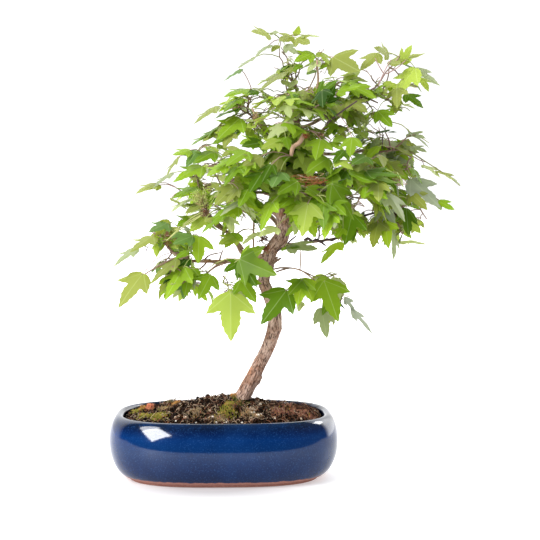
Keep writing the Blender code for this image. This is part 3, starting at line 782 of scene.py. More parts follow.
# %% Moss
Patch = namedtuple("Patch", "pixel reach blades tint")  # the reach is in mm
MOSS_PATCHES = [Patch(*row) for row in (
    ((150.5, 408), 3.0, 420, 0), ((142, 411), 4.5, 240, 4), ((136, 413), 4.5, 200, 1),
    ((145, 417), 5.5, 420, 1), ((158, 417), 6.5, 480, 1), ((164, 411), 5.0, 200, 3),
    ((175.5, 405), 3.6, 240, 4), ((168, 403), 5.0, 120, 2), ((229, 405), 6.0, 260, 1),
    ((238, 405), 7.0, 300, 2), ((227, 414), 8.0, 300, 1), ((247, 413), 7.0, 200, 3),
    ((233.5, 397.5), 2.6, 200, 4), ((219, 421), 8.0, 260, 3), ((196, 413), 8.0, 160, 3),
    ((290, 412), 9.0, 260, 5), ((306, 416), 8.0, 220, 5), ((276, 414), 7.0, 160, 5),
    ((255, 418), 7.0, 160, 3),
)]
MOSS_COLOURS = ((0.60, 0.20, 0.11), (0.27, 0.25, 0.030), (0.075, 0.085, 0.018), (0.30, 0.21, 0.11),
                (0.40, 0.19, 0.045), (0.30, 0.13, 0.085))
BLADE_LENGTHS = (1.2 * MM, 3.4 * MM)
BLADE_RADII = (0.28 * MM, 0.22 * MM, 0.04 * MM)
BLADE_LEAN = 0.5
BLADE_BOW = 0.2 * MM
MOSS_LIFT = 0.7 * MM
OWN_TINT_SHARE = 0.8
SOIL_BACK = 70 * MM  # behind this no soil shows
LOOK_FROM = 120 * MM
LOOK_STEP = 0.5 * MM


def soil_at(pixel):
    """The place on the soil that a pixel shows: its ray is followed until it is under the top."""
    ray = ray_of(*pixel)
    place = EYE + ray * (CAMERA_DISTANCE - LOOK_FROM)
    while place.z > soil_top(place.x, place.y) and place.y < SOIL_BACK:
        place += ray * LOOK_STEP
    return place


moss_rng = random.Random(31)
blade = tube_template(3, 2)
moss_work = bmesh.new()
for patch in MOSS_PATCHES:
    middle = soil_at(patch.pixel)
    for _ in range(patch.blades):
        x = middle.x + moss_rng.gauss(0, patch.reach / 2) * MM
        y = middle.y + moss_rng.gauss(0, patch.reach / 2) * MM
        foot = Vector((x, y, soil_top(x, y) + MOSS_LIFT))
        lean = Vector((moss_rng.gauss(0, BLADE_LEAN), moss_rng.gauss(0, BLADE_LEAN), 1.0)).normalized()
        tip = foot + lean * moss_rng.uniform(*BLADE_LENGTHS)
        points = [foot, foot.lerp(tip, 0.5) + UP * BLADE_BOW, tip]
        tint = patch.tint if moss_rng.random() < OWN_TINT_SHARE else moss_rng.randrange(len(MOSS_COLOURS))
        add_tube(moss_work, blade, points, BLADE_RADII, tint)
new_piece("moss", moss_work, plain_finishes("moss", MOSS_COLOURS, 0.8))

# %% White grains
GRAIN_SPOTS = (  # pixels across and down, and the size that shows, in mm
    (260.3, 406, 1.7), (212.5, 418, 1.4), (216.7, 423.5, 1.3), (219, 417, 1.0), (222.5, 421.5, 1.2),
    (226.5, 423.5, 1.0), (242, 424, 1.3), (254, 414, 1.3), (258, 417, 1.9), (261, 415.5, 1.3),
    (175.8, 422, 1.1), (189.6, 412, 1.0), (196, 423.5, 0.9), (226.3, 403, 0.9), (275, 420, 0.9),
    (300, 417, 0.9),
)
GRAIN_RADIUS = 0.8 * MM  # for each mm of the size that shows
GRAIN_ROUGHNESS = 0.25
GRAIN_WHITE = (0.86, 0.80, 0.72)
grain_rng = random.Random(41)
grain_work = bmesh.new()
for across, down, size in GRAIN_SPOTS:
    spot = soil_at((across, down))
    size *= GRAIN_RADIUS
    rough = 1 + np.array([[grain_rng.uniform(-GRAIN_ROUGHNESS, GRAIN_ROUGHNESS)] for _ in crumb_corners])
    place = np.array([spot.x, spot.y, soil_top(spot.x, spot.y) + size * 0.9])
    stamp(grain_work, crumb_mesh, (crumb_corners * rough * size) @ random_turn(grain_rng).T + place)
new_piece("white_grains", grain_work, [plain_finish("white_grain", GRAIN_WHITE, 0.8)])

# %% [markdown]
# ## The trunk
# The trunk leans to the right, turns back and leans again, as a maple does after each pruning. It flares
# into the soil, and carries stubs and scars of old cuts. The bark is split by long upright fissures with
# tan plates between them. A tube that is bent along the same stations as the frame's trunk keeps the right
# course, and noise that is stretched upward cuts the fissures into the mesh. The depth of each fissure is
# kept as an attribute, so that the finish darkens exactly where the mesh is cut: the bark's own darker
# colour in its fissures, with painted shade there too.

# %% Trunk's course
TRUNK_STATIONS = (  # x, y, z and radius in mm
    (10.5, 0.0, 56.0, 7.0), (15.6, -1.0, 66.0, 6.5), (24.2, -2.0, 82.6, 6.2), (33.3, -2.0, 100.2, 5.6),
    (41.1, -2.5, 117.8, 5.9), (45.0, -2.0, 135.3, 5.8), (43.4, -1.0, 149.0, 5.5), (38.0, 1.0, 161.0, 5.3),
    (35.5, 4.0, 171.0, 5.1), (41.0, 4.0, 194.0, 5.6), (51.5, 0.0, 211.0, 6.1), (54.0, -3.0, 231.0, 6.5),
    (55.0, 0.0, 252.0, 4.7), (59.5, 4.0, 282.0, 3.0), (64.0, 2.0, 302.0, 2.4), (63.5, 0.0, 332.0, 1.4),
)
TRUNK_SIDES = 80
TRUNK_RINGS = 400
ROOT_FLARE = 0.08
ROOT_FLARE_HEIGHT = 9 * MM
ROOT_LOBES = 5
ROOT_LOBE_DEPTH = 0.06

trunk_rows = smooth_line(np.array(TRUNK_STATIONS) * MM, TRUNK_RINGS + 1)
trunk_line, trunk_radii = trunk_rows[:, :3], trunk_rows[:, 3]


def trunk_at(height):
    """The middle of the trunk at a height in mm."""
    return Vector([float(np.interp(height * MM, trunk_line[:, 2], trunk_line[:, axis])) for axis in range(3)])


def heading(compass, rise):
    """A direction from a compass turn from +X and a rise above level, in degrees."""
    turn, lift = math.radians(compass), math.radians(rise)
    return Vector((math.cos(turn) * math.cos(lift), math.sin(turn) * math.cos(lift), math.sin(lift)))


print("trunk is", round((trunk_line[-1][2] - GROUND) / MM), "mm tall")

# %% Bark's relief
FISSURES_ROUND = 4.6
FISSURES_UP = 110.0  # per metre
FISSURE_WIDTH = 0.13
FISSURE_DEPTH, PLATE_SWELL, FLAKE_LIFT, FINE_LIFT = 0.06, 0.06, 0.045, 0.02  # shares of the limb's radius
FISSURE_WANDER, WANDER_SCALE = 0.35, 2.1
PLATE_SCALE = 0.6
FLAKE_SCALE = (7.0, 420.0)  # round the limb, and per metre up it
FINE_SCALE = (15.0, 1100.0)


def bark_relief(x, y, height, radius, seed):
    """How far the bark stands out at a corner of a limb, and how deep in a fissure it is from 0 to 1."""
    spot = Vector((x * FISSURES_ROUND + seed, y * FISSURES_ROUND, height * FISSURES_UP))
    wander = noise.noise(spot * WANDER_SCALE) * FISSURE_WANDER
    crack = noise.noise(spot + Vector((wander, wander, wander)))
    depth = max(0.0, 1.0 - abs(crack) / FISSURE_WIDTH)
    plates = noise.noise(spot * PLATE_SCALE + Vector((7.0, seed, 3.0)))
    flakes, fine = [noise.noise(Vector((x * around, y * around, height * up + seed)))
                    for around, up in (FLAKE_SCALE, FINE_SCALE)]
    out = PLATE_SWELL * plates - FISSURE_DEPTH * depth ** 1.3 + FLAKE_LIFT * flakes + FINE_LIFT * fine
    return out * radius, min(1.0, depth * 0.8 + max(0.0, -flakes - fine * 0.4) * 0.9)


def limb_mesh(template, line, radii, seed, widen=None):
    """A limb with fissured bark. Its mesh keeps the fissures' depth in the attribute named groove."""
    mesh, corners = template
    rings = len(line) - 1
    ring = np.clip(np.rint(corners[:, 2] * rings).astype(int), 0, rings)
    run = np.concatenate([[0.0], np.cumsum(np.linalg.norm(np.diff(line, axis=0), axis=1))])
    rows = [bark_relief(corner[0], corner[1], run[i], radii[i], seed) for corner, i in zip(corners, ring)]
    relief = np.array([row[0] for row in rows])
    if widen is not None:
        relief = relief + widen(corners, ring)
    placed = along_line(corners, line, radii, relief)
    copy = mesh.copy()
    groove = copy.attributes.new("groove", "FLOAT", "POINT")
    groove.data.foreach_set("value", np.array([row[1] for row in rows], dtype=np.float32))
    copy.vertices.foreach_set("co", placed.astype(np.float32).ravel())
    return copy


print("fissures' depth in mm:", round(FISSURE_DEPTH * trunk_radii[0] / MM, 2))

# %% [markdown]
# ### Scars and swellings
# Where a branch was cut, the trunk heals over in a ring of thick bark, and where a bough leaves, it swells
# below it. Each is a soft bump on the trunk's side, given by its height, compass turn, size and push.

# %% Trunk
Swelling = namedtuple("Swelling", "height compass reach push")  # mm, and degrees from +X
SWELLINGS = [Swelling(*row) for row in (
    (82, -14, 6.0, 1.9), (99, 178, 8.0, 0.5), (128, -30, 8.0, 0.9), (150, 170, 8.0, 0.8),
    (181, -8, 6.0, 1.4), (187, 190, 9.0, 2.0), (204, -20, 8.0, 1.6), (226, 205, 8.0, 1.8),
    (231, -75, 7.0, -1.3), (232, -72, 11.0, 1.5), (247, 10, 8.0, 1.6), (258, 150, 7.0, 1.2),
    (266, -60, 5.0, 0.8), (276, 150, 6.0, 1.1), (287, 20, 6.0, 1.5), (303, 40, 5.0, 0.9),
)]
SWELLING_FADE = 2.2


def trunk_widen(corners, ring):
    """Root flare at the foot, and the swellings further up."""
    heights = trunk_line[ring][:, 2]
    turn = np.arctan2(corners[:, 1], corners[:, 0])
    near_ground = np.exp(-np.maximum(0.0, heights - GROUND) / ROOT_FLARE_HEIGHT)
    wide = trunk_radii[ring] * near_ground * (ROOT_FLARE + ROOT_LOBE_DEPTH * np.cos(ROOT_LOBES * turn))
    surface = along_line(corners, trunk_line, trunk_radii)
    for swelling in SWELLINGS:
        middle = trunk_at(swelling.height)
        radius = float(np.interp(middle.z, trunk_line[:, 2], trunk_radii))
        spot = np.array(middle + heading(swelling.compass, 0) * radius)
        near = np.exp(-np.sum((surface - spot) ** 2, axis=1) / (swelling.reach * MM) ** 2 * SWELLING_FADE)
        wide = wide + near * swelling.push * MM
    return wide


bark_work = bmesh.new()
trunk_template = tube_template(TRUNK_SIDES, TRUNK_RINGS)
bark_work.from_mesh(limb_mesh(trunk_template, trunk_line, trunk_radii, 0.0, trunk_widen))
cut = bmesh.ops.bisect_plane(bark_work, geom=all_of(bark_work), plane_co=(0, 0, GROUND), plane_no=UP,
                             clear_inner=True)
foot_rim = [item for item in cut["geom_cut"] if isinstance(item, bmesh.types.BMEdge)]
bmesh.ops.edgeloop_fill(bark_work, edges=foot_rim)
print("trunk's corners:", len(bark_work.verts))

# %% Stubs of old cuts
Stub = namedtuple("Stub", "height compass rise length base tip")  # mm and degrees
STUBS = [Stub(*row) for row in (
    (80.5, -12, 30, 11.8, 3.4, 2.5), (126, -20, 15, 8.2, 1.6, 0.8), (221, 186, 40, 12.5, 2.8, 1.4),
    (181, -8, 42, 14.0, 1.9, 1.0), (262, -10, 50, 9.0, 1.5, 0.9), (247, 160, 30, 9.0, 1.7, 1.2),
)]
STUB_SIDES, STUB_RINGS = 20, 24
STUB_ROUNDING = (0.94, 0.8, 0.55)  # the last rings close in to a rounded end
stub_template = tube_template(STUB_SIDES, STUB_RINGS)
for number, stub in enumerate(STUBS):
    start = trunk_at(stub.height)
    end = start + heading(stub.compass, stub.rise) * stub.length * MM
    half_way = (*start.lerp(end, 0.55), (stub.base + stub.tip) / 2 * MM)
    rows = smooth_line([(*start, stub.base * MM), half_way, (*end, stub.tip * MM)], STUB_RINGS + 1)
    rows[-len(STUB_ROUNDING):, 3] *= STUB_ROUNDING
    bark_work.from_mesh(limb_mesh(stub_template, rows[:, :3], rows[:, 3], 5.0 + number))
print("stubs of old cuts:", len(STUBS))

# %% Bark finish
DRY_PATCHES = Spots(90.0, 5.0, 0.40, 0.60, 1.0, 0.65)
RUST_PATCHES = Spots(60.0, 3.0, 0.58, 0.70, 0.6)
STREAKS = Spots(900.0, 3.0, 0.50, 0.72, 0.6)
STREAK_STRETCH = (1.0, 1.0, 0.22)
# grooves and sunken flakes darken: partly the bark's own colour, partly painted shade
GROOVE_EDGE, GROOVE_MOST = (0.08, 0.70), 0.88
BARK_ROUGHNESS, BARK_GLOSS = 0.86, 0.15
RUST = (0.46, 0.19, 0.085)


def bark_finish(name, plate, pale, dark):
    """Tan plates with paler dry patches, and dark bark down in the grooves that the mesh keeps, partly
    painted shade.
    """
    finish, tree, shader = new_finish(name)
    place = add_node(tree, "TexCoord").outputs["Object"]
    _, patch_share = spots_of(tree, place, DRY_PATCHES)
    plates = mix_colour(tree, patch_share, rgba(plate), rgba(pale))
    _, rust_share = spots_of(tree, place, RUST_PATCHES)
    plates = mix_colour(tree, rust_share, plates, rgba(RUST))
    upright = add_node(tree, "Mapping", None, {"Vector": place, "Scale": STREAK_STRETCH})
    streak, streak_share = spots_of(tree, upright.outputs[0], STREAKS)
    streaked = mix_colour(tree, streak_share, plates, rgba(dark))
    groove = add_node(tree, "Attribute", {"attribute_name": "groove"}).outputs["Fac"]
    groove_and_shade_share = map_range(tree, groove, *GROOVE_EDGE, 0.0, GROOVE_MOST)
    tree.links.new(mix_colour(tree, groove_and_shade_share, streaked, rgba(dark)), shader.inputs["Base Color"])
    shader.inputs["Roughness"].default_value = BARK_ROUGHNESS
    shader.inputs["Specular IOR Level"].default_value = BARK_GLOSS
    add_bump(tree, shader, streak, strength=0.55, distance=0.35 * MM)
    finish.diffuse_color = rgba(plate)
    return finish


trunk_bark = bark_finish("trunk_bark", (0.315, 0.172, 0.116), (0.55, 0.385, 0.312), (0.042, 0.018, 0.013))
new_piece("trunk_bark", bark_work, [trunk_bark], ["trunk"])

# %% [markdown]
# ## Masses and boughs
# The frame keeps each spray of foliage as one solid in its own space, on the tip of its own bough. The
# same table and rule grow them here. A bough leaves the trunk at its height, arches up, sways a little and
# ends in its mass. Where the photograph shows a bough's course, its bends are given as places instead.

# %% Masses
Mass = namedtuple("Mass", "name middle half leaves_trunk arch girth")  # mm
MASSES = [Mass(*row) for row in (
    ("apex", (60, 0, 346), (48, 46, 43), None, 0, 0),
    ("upper_left", (20, -6, 316), (48, 46, 40), 277, 6, 1.9),
    ("upper_right", (142, 2, 333), (50, 46, 43), 293, -9, 1.8),
    ("upper_middle", (102, -6, 320), (42, 44, 38), 302, -2, 1.5),
    ("left_middle", (-24, 6, 266), (52, 48, 38), 196, 6, 2.2),
    ("left_low", (-48, -6, 202), (51, 48, 34), 184, -4, 1.6),
    ("left_hanging", (-34, -26, 170), (50, 42, 28), 177, 4, 0.9),
    ("middle_hanging", (2, -22, 155), (38, 38, 39), 167, 6, 1.6),
    ("middle_left", (12, 2, 236), (42, 44, 34), 224, 5, 1.3),
    ("middle", (57, -34, 268), (44, 40, 38), 254, 2, 1.8),
    ("middle_right", (97, -6, 230), (42, 42, 34), 238, 4, 1.0),
    ("right_middle", (150, 0, 284), (51, 46, 37), 264, -9, 2.1),
    ("right_low", (156, -4, 230), (52, 46, 38), 204, 3, 1.2),
    ("right_hanging", (86, -10, 157), (53, 44, 37), 179, 10, 0.7),
    ("front_left", (12, -58, 250), (46, 44, 38), 240, 2, 1.7),
    ("front_middle", (62, -70, 230), (44, 42, 38), 218, 6, 1.8),
    ("front_right", (116, -58, 254), (46, 44, 40), 248, 3, 1.7),
    ("front_upper", (58, -52, 310), (46, 42, 38), 270, 4, 1.6),
    ("back_left", (0, 62, 248), (52, 46, 42), 212, 6, 2.0),
    ("back_right", (108, 70, 240), (52, 46, 44), 221, 4, 2.1),
    ("back_upper", (66, 56, 310), (46, 44, 42), 266, 5, 1.8),
    ("back_far_right", (146, 52, 284), (46, 42, 40), 284, -4, 1.7),
)]
BOUGH_TIP_GIRTH = 1.15
BOUGH_BENDS = 4
BOUGH_SWAY = 2.5 * MM
MASS_ENTRY = 0.36
SHOWN_COURSES = {  # places in mm
    "left_low": ((34, 2, 186), (3, -5, 187), (-31, -8, 188), (-44, -8, 195)),
    "left_hanging": ((34, 0, 185), (10, -8, 187), (-5, -14, 184), (-14, -18, 178)),
    "left_middle": ((34, 4, 190), (18, 5, 193), (12, 6, 201), (1, 8, 214), (-14, 8, 229), (-20, 8, 246)),
    "middle_left": ((48, 0, 226), (32, 3, 236), (17, 4, 246)),
    "upper_left": ((57, 2, 275), (41, -3, 292), (31, -6, 306), (25, -7, 312)),
    "middle_right": ((55, -2, 234), (62, -6, 246), (75, -7, 252), (90, -7, 246)),
    "right_hanging": ((38, 3, 178), (52, 0, 181), (67, -4, 179), (80, -8, 170)),
    "right_low": ((46, 2, 200), (63, 0, 202), (82, -1, 204), (103, -2, 208), (132, -3, 219)),
    "upper_right": ((63, 3, 292), (80, 0, 295), (89, 0, 303), (106, 0, 320), (122, 1, 330)),
}


def bough_points(mass):
    """The bends of a mass's bough, from inside the trunk to its tip in the mass."""
    if mass.name in SHOWN_COURSES:
        return [Vector(bend) * MM for bend in SHOWN_COURSES[mass.name]]
    middle = Vector(mass.middle) * MM
    start = trunk_at(mass.leaves_trunk)
    toward = (start - middle).normalized()
    depth = 1.0 / math.sqrt(sum((part / (size * MM)) ** 2 for part, size in zip(toward, mass.half)))
    tip = middle + toward * depth * MASS_ENTRY
    side = (tip - start).cross(UP).normalized()
    points = []
    for step in range(BOUGH_BENDS + 1):
        t = step / BOUGH_BENDS
        sway = side * BOUGH_SWAY * math.sin(2 * math.pi * t)
        points.append(start.lerp(tip, t) + UP * mass.arch * MM * 4 * t * (1 - t) + sway)
    return points


print("masses:", len(MASSES), "of which", len(SHOWN_COURSES), "have boughs that show")

# %% Boughs
BOUGH_SIDES, BOUGH_RINGS = 14, 56
COLLAR, COLLAR_FADE = 0.5, 14
KNUCKLE, KNUCKLE_TURN = 0.10, 21
bough_template = tube_template(BOUGH_SIDES, BOUGH_RINGS)
bough_work = bmesh.new()
bough_lines = {}
for number, mass in enumerate(MASSES):
    if mass.leaves_trunk is None:
        bough_lines[mass.name] = trunk_line
        continue
    line = smooth_line(bough_points(mass), BOUGH_RINGS + 1)
    t = np.linspace(0, 1, BOUGH_RINGS + 1)
    collar = 1 + COLLAR * np.exp(-t * COLLAR_FADE)
    knuckles = 1 + KNUCKLE * np.maximum(0, np.sin(t * KNUCKLE_TURN + number)) ** 6
    thinning = min(mass.girth, BOUGH_TIP_GIRTH) - mass.girth
    radii = (mass.girth + thinning * t) * MM * collar * knuckles
    bough_lines[mass.name] = line
    bough_work.from_mesh(limb_mesh(bough_template, line, radii, 20.0 + number))
bough_bark = bark_finish("bough_bark", (0.38, 0.23, 0.155), (0.58, 0.43, 0.33), (0.13, 0.075, 0.060))
bough_names = ["bough_" + mass.name for mass in MASSES if mass.leaves_trunk is not None]
new_piece("bough_bark", bough_work, [bough_bark], bough_names)

# %% [markdown]
# ## Twigs
# In each mass a stem runs on from the bough to a hub, and seven shoots spread from it on an even spiral,
# each from the nearest end that has already grown. That is the rule of the frame's solids. Here each shoot
# also carries opposite pairs of short side shoots, as every maple does.

# %% Growing the twigs
HUB_SHARE = 0.75
SHOOTS_PER_MASS = 7
SHOOT_INSET = 30 * MM
SHOOT_RISE = 0.6
GOLDEN_ANGLE = math.radians(137.508)
SIDE_SHOOT_PLACES = (0.38, 0.7)
SIDE_SHOOT_LENGTHS = (9 * MM, 17 * MM)
SIDE_SHOOT_WAYS = ((0.7, 1.1), (0.4, 0.9), (-0.3, 0.35))  # sideways, ahead and up
KINK_PLACES, KINK_RISE = (0.36, 0.68), 0.05
STEM_GIRTHS, SHOOT_GIRTHS, SIDE_GIRTHS = (0.95, 0.8), (0.75, 0.42), (0.42, 0.3)  # radii in mm
Twig = namedtuple("Twig", "points radii carries tint")
Spray = namedtuple("Spray", "mass tip ahead order")


def shoot_place(mass, number):
    """The end of one shoot, on an even spiral about the mass's middle."""
    level = 1.0 - 2.0 * (number + 0.5) / SHOOTS_PER_MASS
    turn = GOLDEN_ANGLE * (number + len(mass.name))
    flat = math.sqrt(1.0 - level * level)
    size = Vector(mass.half) * MM
    return Vector(mass.middle) * MM + Vector((
        math.cos(turn) * flat * (size.x - SHOOT_INSET),
        math.sin(turn) * flat * (size.y - SHOOT_INSET),
        level * size.z * SHOOT_RISE,
    ))


def crooked(start, end, rng, bend=0.09):
    """A twig's course: it kinks a little at each of two nodes, and rises before it levels out."""
    length = (end - start).length
    points = [start]
    for share in KINK_PLACES:
        kink = Vector([rng.uniform(-bend, bend) for _ in range(3)]) * length
        points.append(start.lerp(end, share) + kink + UP * length * KINK_RISE)
    return points + [end]


print("shoots in a mass:", SHOOTS_PER_MASS)


# %% Growing a mass
def grow_mass(mass):
    """The twigs of a mass, and the sprays at their ends that carry leaves."""
    rng = random.Random(mass.name)
    root = Vector(bough_lines[mass.name][-1])
    before = Vector(bough_lines[mass.name][-4])
    middle = Vector(mass.middle) * MM
    hub = root.lerp(middle, HUB_SHARE)
    ahead = (root - before).normalized()
    twigs = [Twig([root - ahead * MM, root + ahead * 2 * MM, hub], STEM_GIRTHS, None, None)]
    sprays = [Spray(mass, hub, (hub - root).normalized(), 0)]
    ends = [hub, root]
    carried = {}
    grown_from = {}
    for number in range(SHOOTS_PER_MASS):
        tip = shoot_place(mass, number)
        near = min(ends, key=lambda end: (end - tip).length)
        course = crooked(near, tip, rng)
        carries = carried[tuple(tip)] = [tuple(tip)]
        grown_from[tuple(tip)] = tuple(near)
        twigs.append(Twig(course, SHOOT_GIRTHS, carries, None))
        ends.append(tip)
        out = (tip - course[2]).normalized()
        sprays.append(Spray(mass, tip, out, 1))
        side = out.cross(UP).normalized()
        for pair, share in enumerate(SIDE_SHOOT_PLACES):
            node = course[1].lerp(course[2], share) if pair == 0 else course[2].lerp(course[3], share - 0.3)
            for hand in (-1, 1):
                sideways, onward, upward = [rng.uniform(*most) for most in SIDE_SHOOT_WAYS]
                swing = side * hand * sideways + out * onward + UP * upward
                end = node + swing.normalized() * rng.uniform(*SIDE_SHOOT_LENGTHS)
                carries.append(tuple(end))
                twigs.append(Twig(crooked(node, end, rng, 0.06), SIDE_GIRTHS, [tuple(end)], None))
                sprays.append(Spray(mass, end, swing.normalized(), 2))
    for tip, start in reversed(grown_from.items()):
        if start in carried:
            carried[start] += carried[tip]
    return twigs, sprays


all_twigs, all_sprays = [], []
for mass in MASSES:
    twigs, sprays = grow_mass(mass)
    all_twigs += twigs
    all_sprays += sprays
print("twigs:", len(all_twigs), "sprays:", len(all_sprays))

# %% [markdown]
# ### Twigs that the photograph shows
# Through the crown's openings single twigs show against the sky. They are given by the pixels of their
# bends and by their depth, and each starts on the limb that carries it.

# %% Shown twigs
ShownTwig = namedtuple("ShownTwig", "depth start_girth end_girth pixels tint", defaults=(None,))  # mm
SHOWN_TWIGS = [ShownTwig(*row) for row in (
    (-8, 1.2, 0.8, ((173, 252), (167, 246), (166, 236), (169, 228))),
    (-6, 0.8, 0.5, ((219.5, 260), (221, 255), (223, 250))),
    (-6, 0.8, 0.5, ((205, 259), (210, 255), (221, 252.5))),
    (-8, 0.8, 0.5, ((207, 262), (201, 268), (194, 271), (186, 268))),
    (7, 1.5, 0.9, ((224, 230), (214, 221), (206, 214), (201, 203), (199, 194))),
    (7, 1.1, 0.6, ((206, 214), (210, 206), (216, 196), (222, 185))),
    (3, 1.0, 0.6, ((253.5, 258), (253.5, 230), (254, 211), (250, 198), (246.5, 185.6)), 1),
    (2, 1.8, 1.2, ((262.5, 206), (253, 197), (245, 189), (237, 182), (230, 177))),
    (-2, 1.7, 1.0, ((290, 162), (280, 150), (271, 140), (264, 131), (259, 124), (252, 112))),
    (-8, 0.9, 0.6, ((277, 251), (284, 247), (290, 241), (296, 236)), 3),
    (-2, 0.8, 0.55, ((276, 272), (283, 269.5), (291, 268), (300, 270), (311, 275), (322, 280))),
    (-2, 0.6, 0.5, ((300, 270), (300.5, 259), (300, 249))),
    (-2, 1.3, 0.9, ((268, 268), (275, 262), (281, 258))),
    (0, 1.4, 0.4, ((292, 150), (293, 138), (297, 127), (297, 110), (296, 92), (296, 75), (294, 62))),
    (0, 0.8, 0.35, ((296.5, 108), (291, 100), (286, 87), (283, 63), (279, 55), (281, 40))),
    (0, 0.8, 0.4, ((297, 112), (303, 102), (308, 90), (315, 76), (317, 62)), 1),
    (0, 1.0, 0.4, ((345, 108), (361, 96), (377, 86), (385, 73), (396, 62), (403, 49)), 5),
    (0, 0.9, 0.6, ((361, 97), (369, 99), (378, 103))),
    (-14, 0.8, 0.6, ((189, 259), (178, 257), (168, 261), (155, 268), (145, 274))),
    (-4, 0.8, 0.6, ((167, 246), (161, 241), (155, 237))),
    (6, 1.3, 1.0, ((243, 249.5), (237, 241), (224.4, 231), (215.7, 226), (208, 216)), 1),
    (-36, 0.5, 0.35, ((205, 213), (192, 220), (180, 228), (170, 237)), 4),
    (-37, 0.5, 0.35, ((204, 214), (190, 223), (178, 231), (166, 241)), 4),
    (-34, 0.5, 0.35, ((203, 212), (193, 217), (184, 224), (175, 230)), 4),
    (-35, 0.45, 0.35, ((205, 210), (203, 203), (206, 194), (203, 187)), 4),
    (-2, 0.45, 0.35, ((163, 246), (154, 242), (147, 248), (146, 256)), 3),
    (-72, 1.9, 1.7, ((304.7, 133), (299, 143), (293, 147), (291, 156)), 6),
    (-62, 0.9, 0.6, ((327, 123), (341, 112), (357, 101)), 3),
    (-70, 0.7, 0.6, ((300, 176), (312, 179), (324, 178), (333, 180)), 1),
    (-24, 0.8, 0.5, ((252, 108), (256, 117), (262, 127)), 1),
    (-20, 1.0, 0.8, ((305, 106), (312, 96), (318, 84), (317, 60)), 1),
    (-20, 0.5, 0.4, ((378, 87), (384, 72), (391, 59.6)), 5),
    (-16, 0.5, 0.4, ((384, 74), (379, 66), (375, 58)), 5),
    (-12, 0.5, 0.4, ((386, 74), (397, 68), (406, 60)), 5),
    (4, 0.45, 0.35, ((391, 122), (402, 125), (410, 132), (420, 137), (429, 143)), 4),
    (-16, 0.45, 0.35, ((382, 149), (382.6, 140), (382.5, 133)), 3),
    (8, 0.6, 0.35, ((408, 150), (420, 158), (434, 167), (448, 176), (460, 186))),
    (2, 0.6, 0.35, ((400, 172), (415, 183), (430, 194), (446, 205))),
    (-18, 1.4, 1.2, ((304, 240.5), (308.5, 238.5), (312, 241.5), (316.5, 239)), 3),
    (-18, 1.3, 0.8, ((316.5, 239), (321, 242), (327, 239), (332, 240.5), (338, 237)), 3),
    (-17, 0.9, 0.6, ((321, 241.5), (324, 244.5), (326, 245.5)), 3),
    (-18, 0.8, 0.5, ((319, 239), (319, 230), (316.5, 222)), 3),
    (-12, 1.0, 0.8, ((360, 217), (370, 214), (378, 212)), 3),
)]
for shown in SHOWN_TWIGS:
    points = [place_of(pixel, shown.depth) for pixel in shown.pixels]
    all_twigs.append(Twig(points, (shown.start_girth, shown.end_girth), None, shown.tint))
print("shown twigs:", len(SHOWN_TWIGS))

# %% [markdown]
# ### Tangles
# Where buds burst year after year, old bud scales and dead stalks stay on as small brown tangles. Each is a
# handful of thin curled strands, in the colour that the photograph shows for it.

# %% Tangles
Tangle = namedtuple("Tangle", "pixel depth half_width half_height strands tint")  # mm
TANGLES = [Tangle(*row) for row in (
    ((168.5, 238), -12, 4.5, 8.5, 60, 2), ((205, 210), -40, 5.5, 6.5, 60, 0),
    ((218, 263), -10, 6.5, 3.6, 40, 2), ((208, 260.5), -8, 12, 1.8, 26, 2),
    ((263.5, 238.5), -2, 5.5, 4.5, 60, 0), ((265.5, 248.5), -14, 4, 5, 60, 1),
    ((311, 179.5), -88, 15, 5, 44, 1), ((368, 167.5), -58, 7, 3.5, 34, 3), ((394, 183), -40, 13, 4, 60, 4),
    ((310, 95), -46, 7, 6.5, 60, 4), ((256, 118), -36, 4, 7, 26, 3), ((305.5, 136), -76, 3.5, 3.5, 30, 1),
    ((321, 135), -70, 4.5, 3, 24, 0), ((350, 165), -60, 9, 3.5, 34, 3), ((322, 62), -10, 5, 9, 30, 2),
    ((200, 199), -40, 8, 6.5, 80, 5), ((176, 230), -14, 7, 4, 30, 5), ((290, 62), -6, 7, 5, 26, 5),
    ((357, 108), -40, 8, 4.5, 36, 5),
)]
STRAND_LENGTH = 0.9  # as a share of the tangle's size
STRAND_RADIUS = 0.27 * MM
STRAND_TAPER = (1.2, 0.6)
STRAND_SIDES, STRAND_RINGS = 3, 4
STRAND_SCATTER, STRAND_BEND = 0.42, 0.22
TANGLE_FLATNESS, TANGLE_SIZE = 0.6, 0.86
OWN_STRAND_SHARE = 0.75
TANGLE_COLOURS = ((0.16, 0.085, 0.050), (0.28, 0.095, 0.035), (0.36, 0.18, 0.085), (0.40, 0.27, 0.14),
                  (0.52, 0.38, 0.30), (0.46, 0.50, 0.16))
tangle_rng = random.Random(45)
strand = tube_template(STRAND_SIDES, STRAND_RINGS)
tangle_work = bmesh.new()
for tangle in TANGLES:
    middle = place_of(tangle.pixel, tangle.depth)
    size = Vector((tangle.half_width, tangle.half_width * TANGLE_FLATNESS, tangle.half_height))
    scale = size * TANGLE_SIZE * MM
    for _ in range(tangle.strands):
        start = Vector([tangle_rng.gauss(0, STRAND_SCATTER) for _ in range(3)])
        way = Vector([tangle_rng.gauss(0, 1) for _ in range(3)]).normalized() * STRAND_LENGTH
        bend = Vector([tangle_rng.gauss(0, STRAND_BEND) for _ in range(3)])
        steps = [start - way * 0.5, start + bend, start + way * 0.5]
        points = [middle + Vector(a * b for a, b in zip(step, scale)) for step in steps]
        radii = STRAND_RADIUS * np.linspace(*STRAND_TAPER, STRAND_RINGS + 1)
        own = tangle_rng.random() < OWN_STRAND_SHARE
        tint = tangle.tint if own else tangle_rng.randrange(len(TANGLE_COLOURS))
        add_tube(tangle_work, strand, points, radii, tint)
new_piece("tangles", tangle_work, plain_finishes("tangle", TANGLE_COLOURS, 0.8))

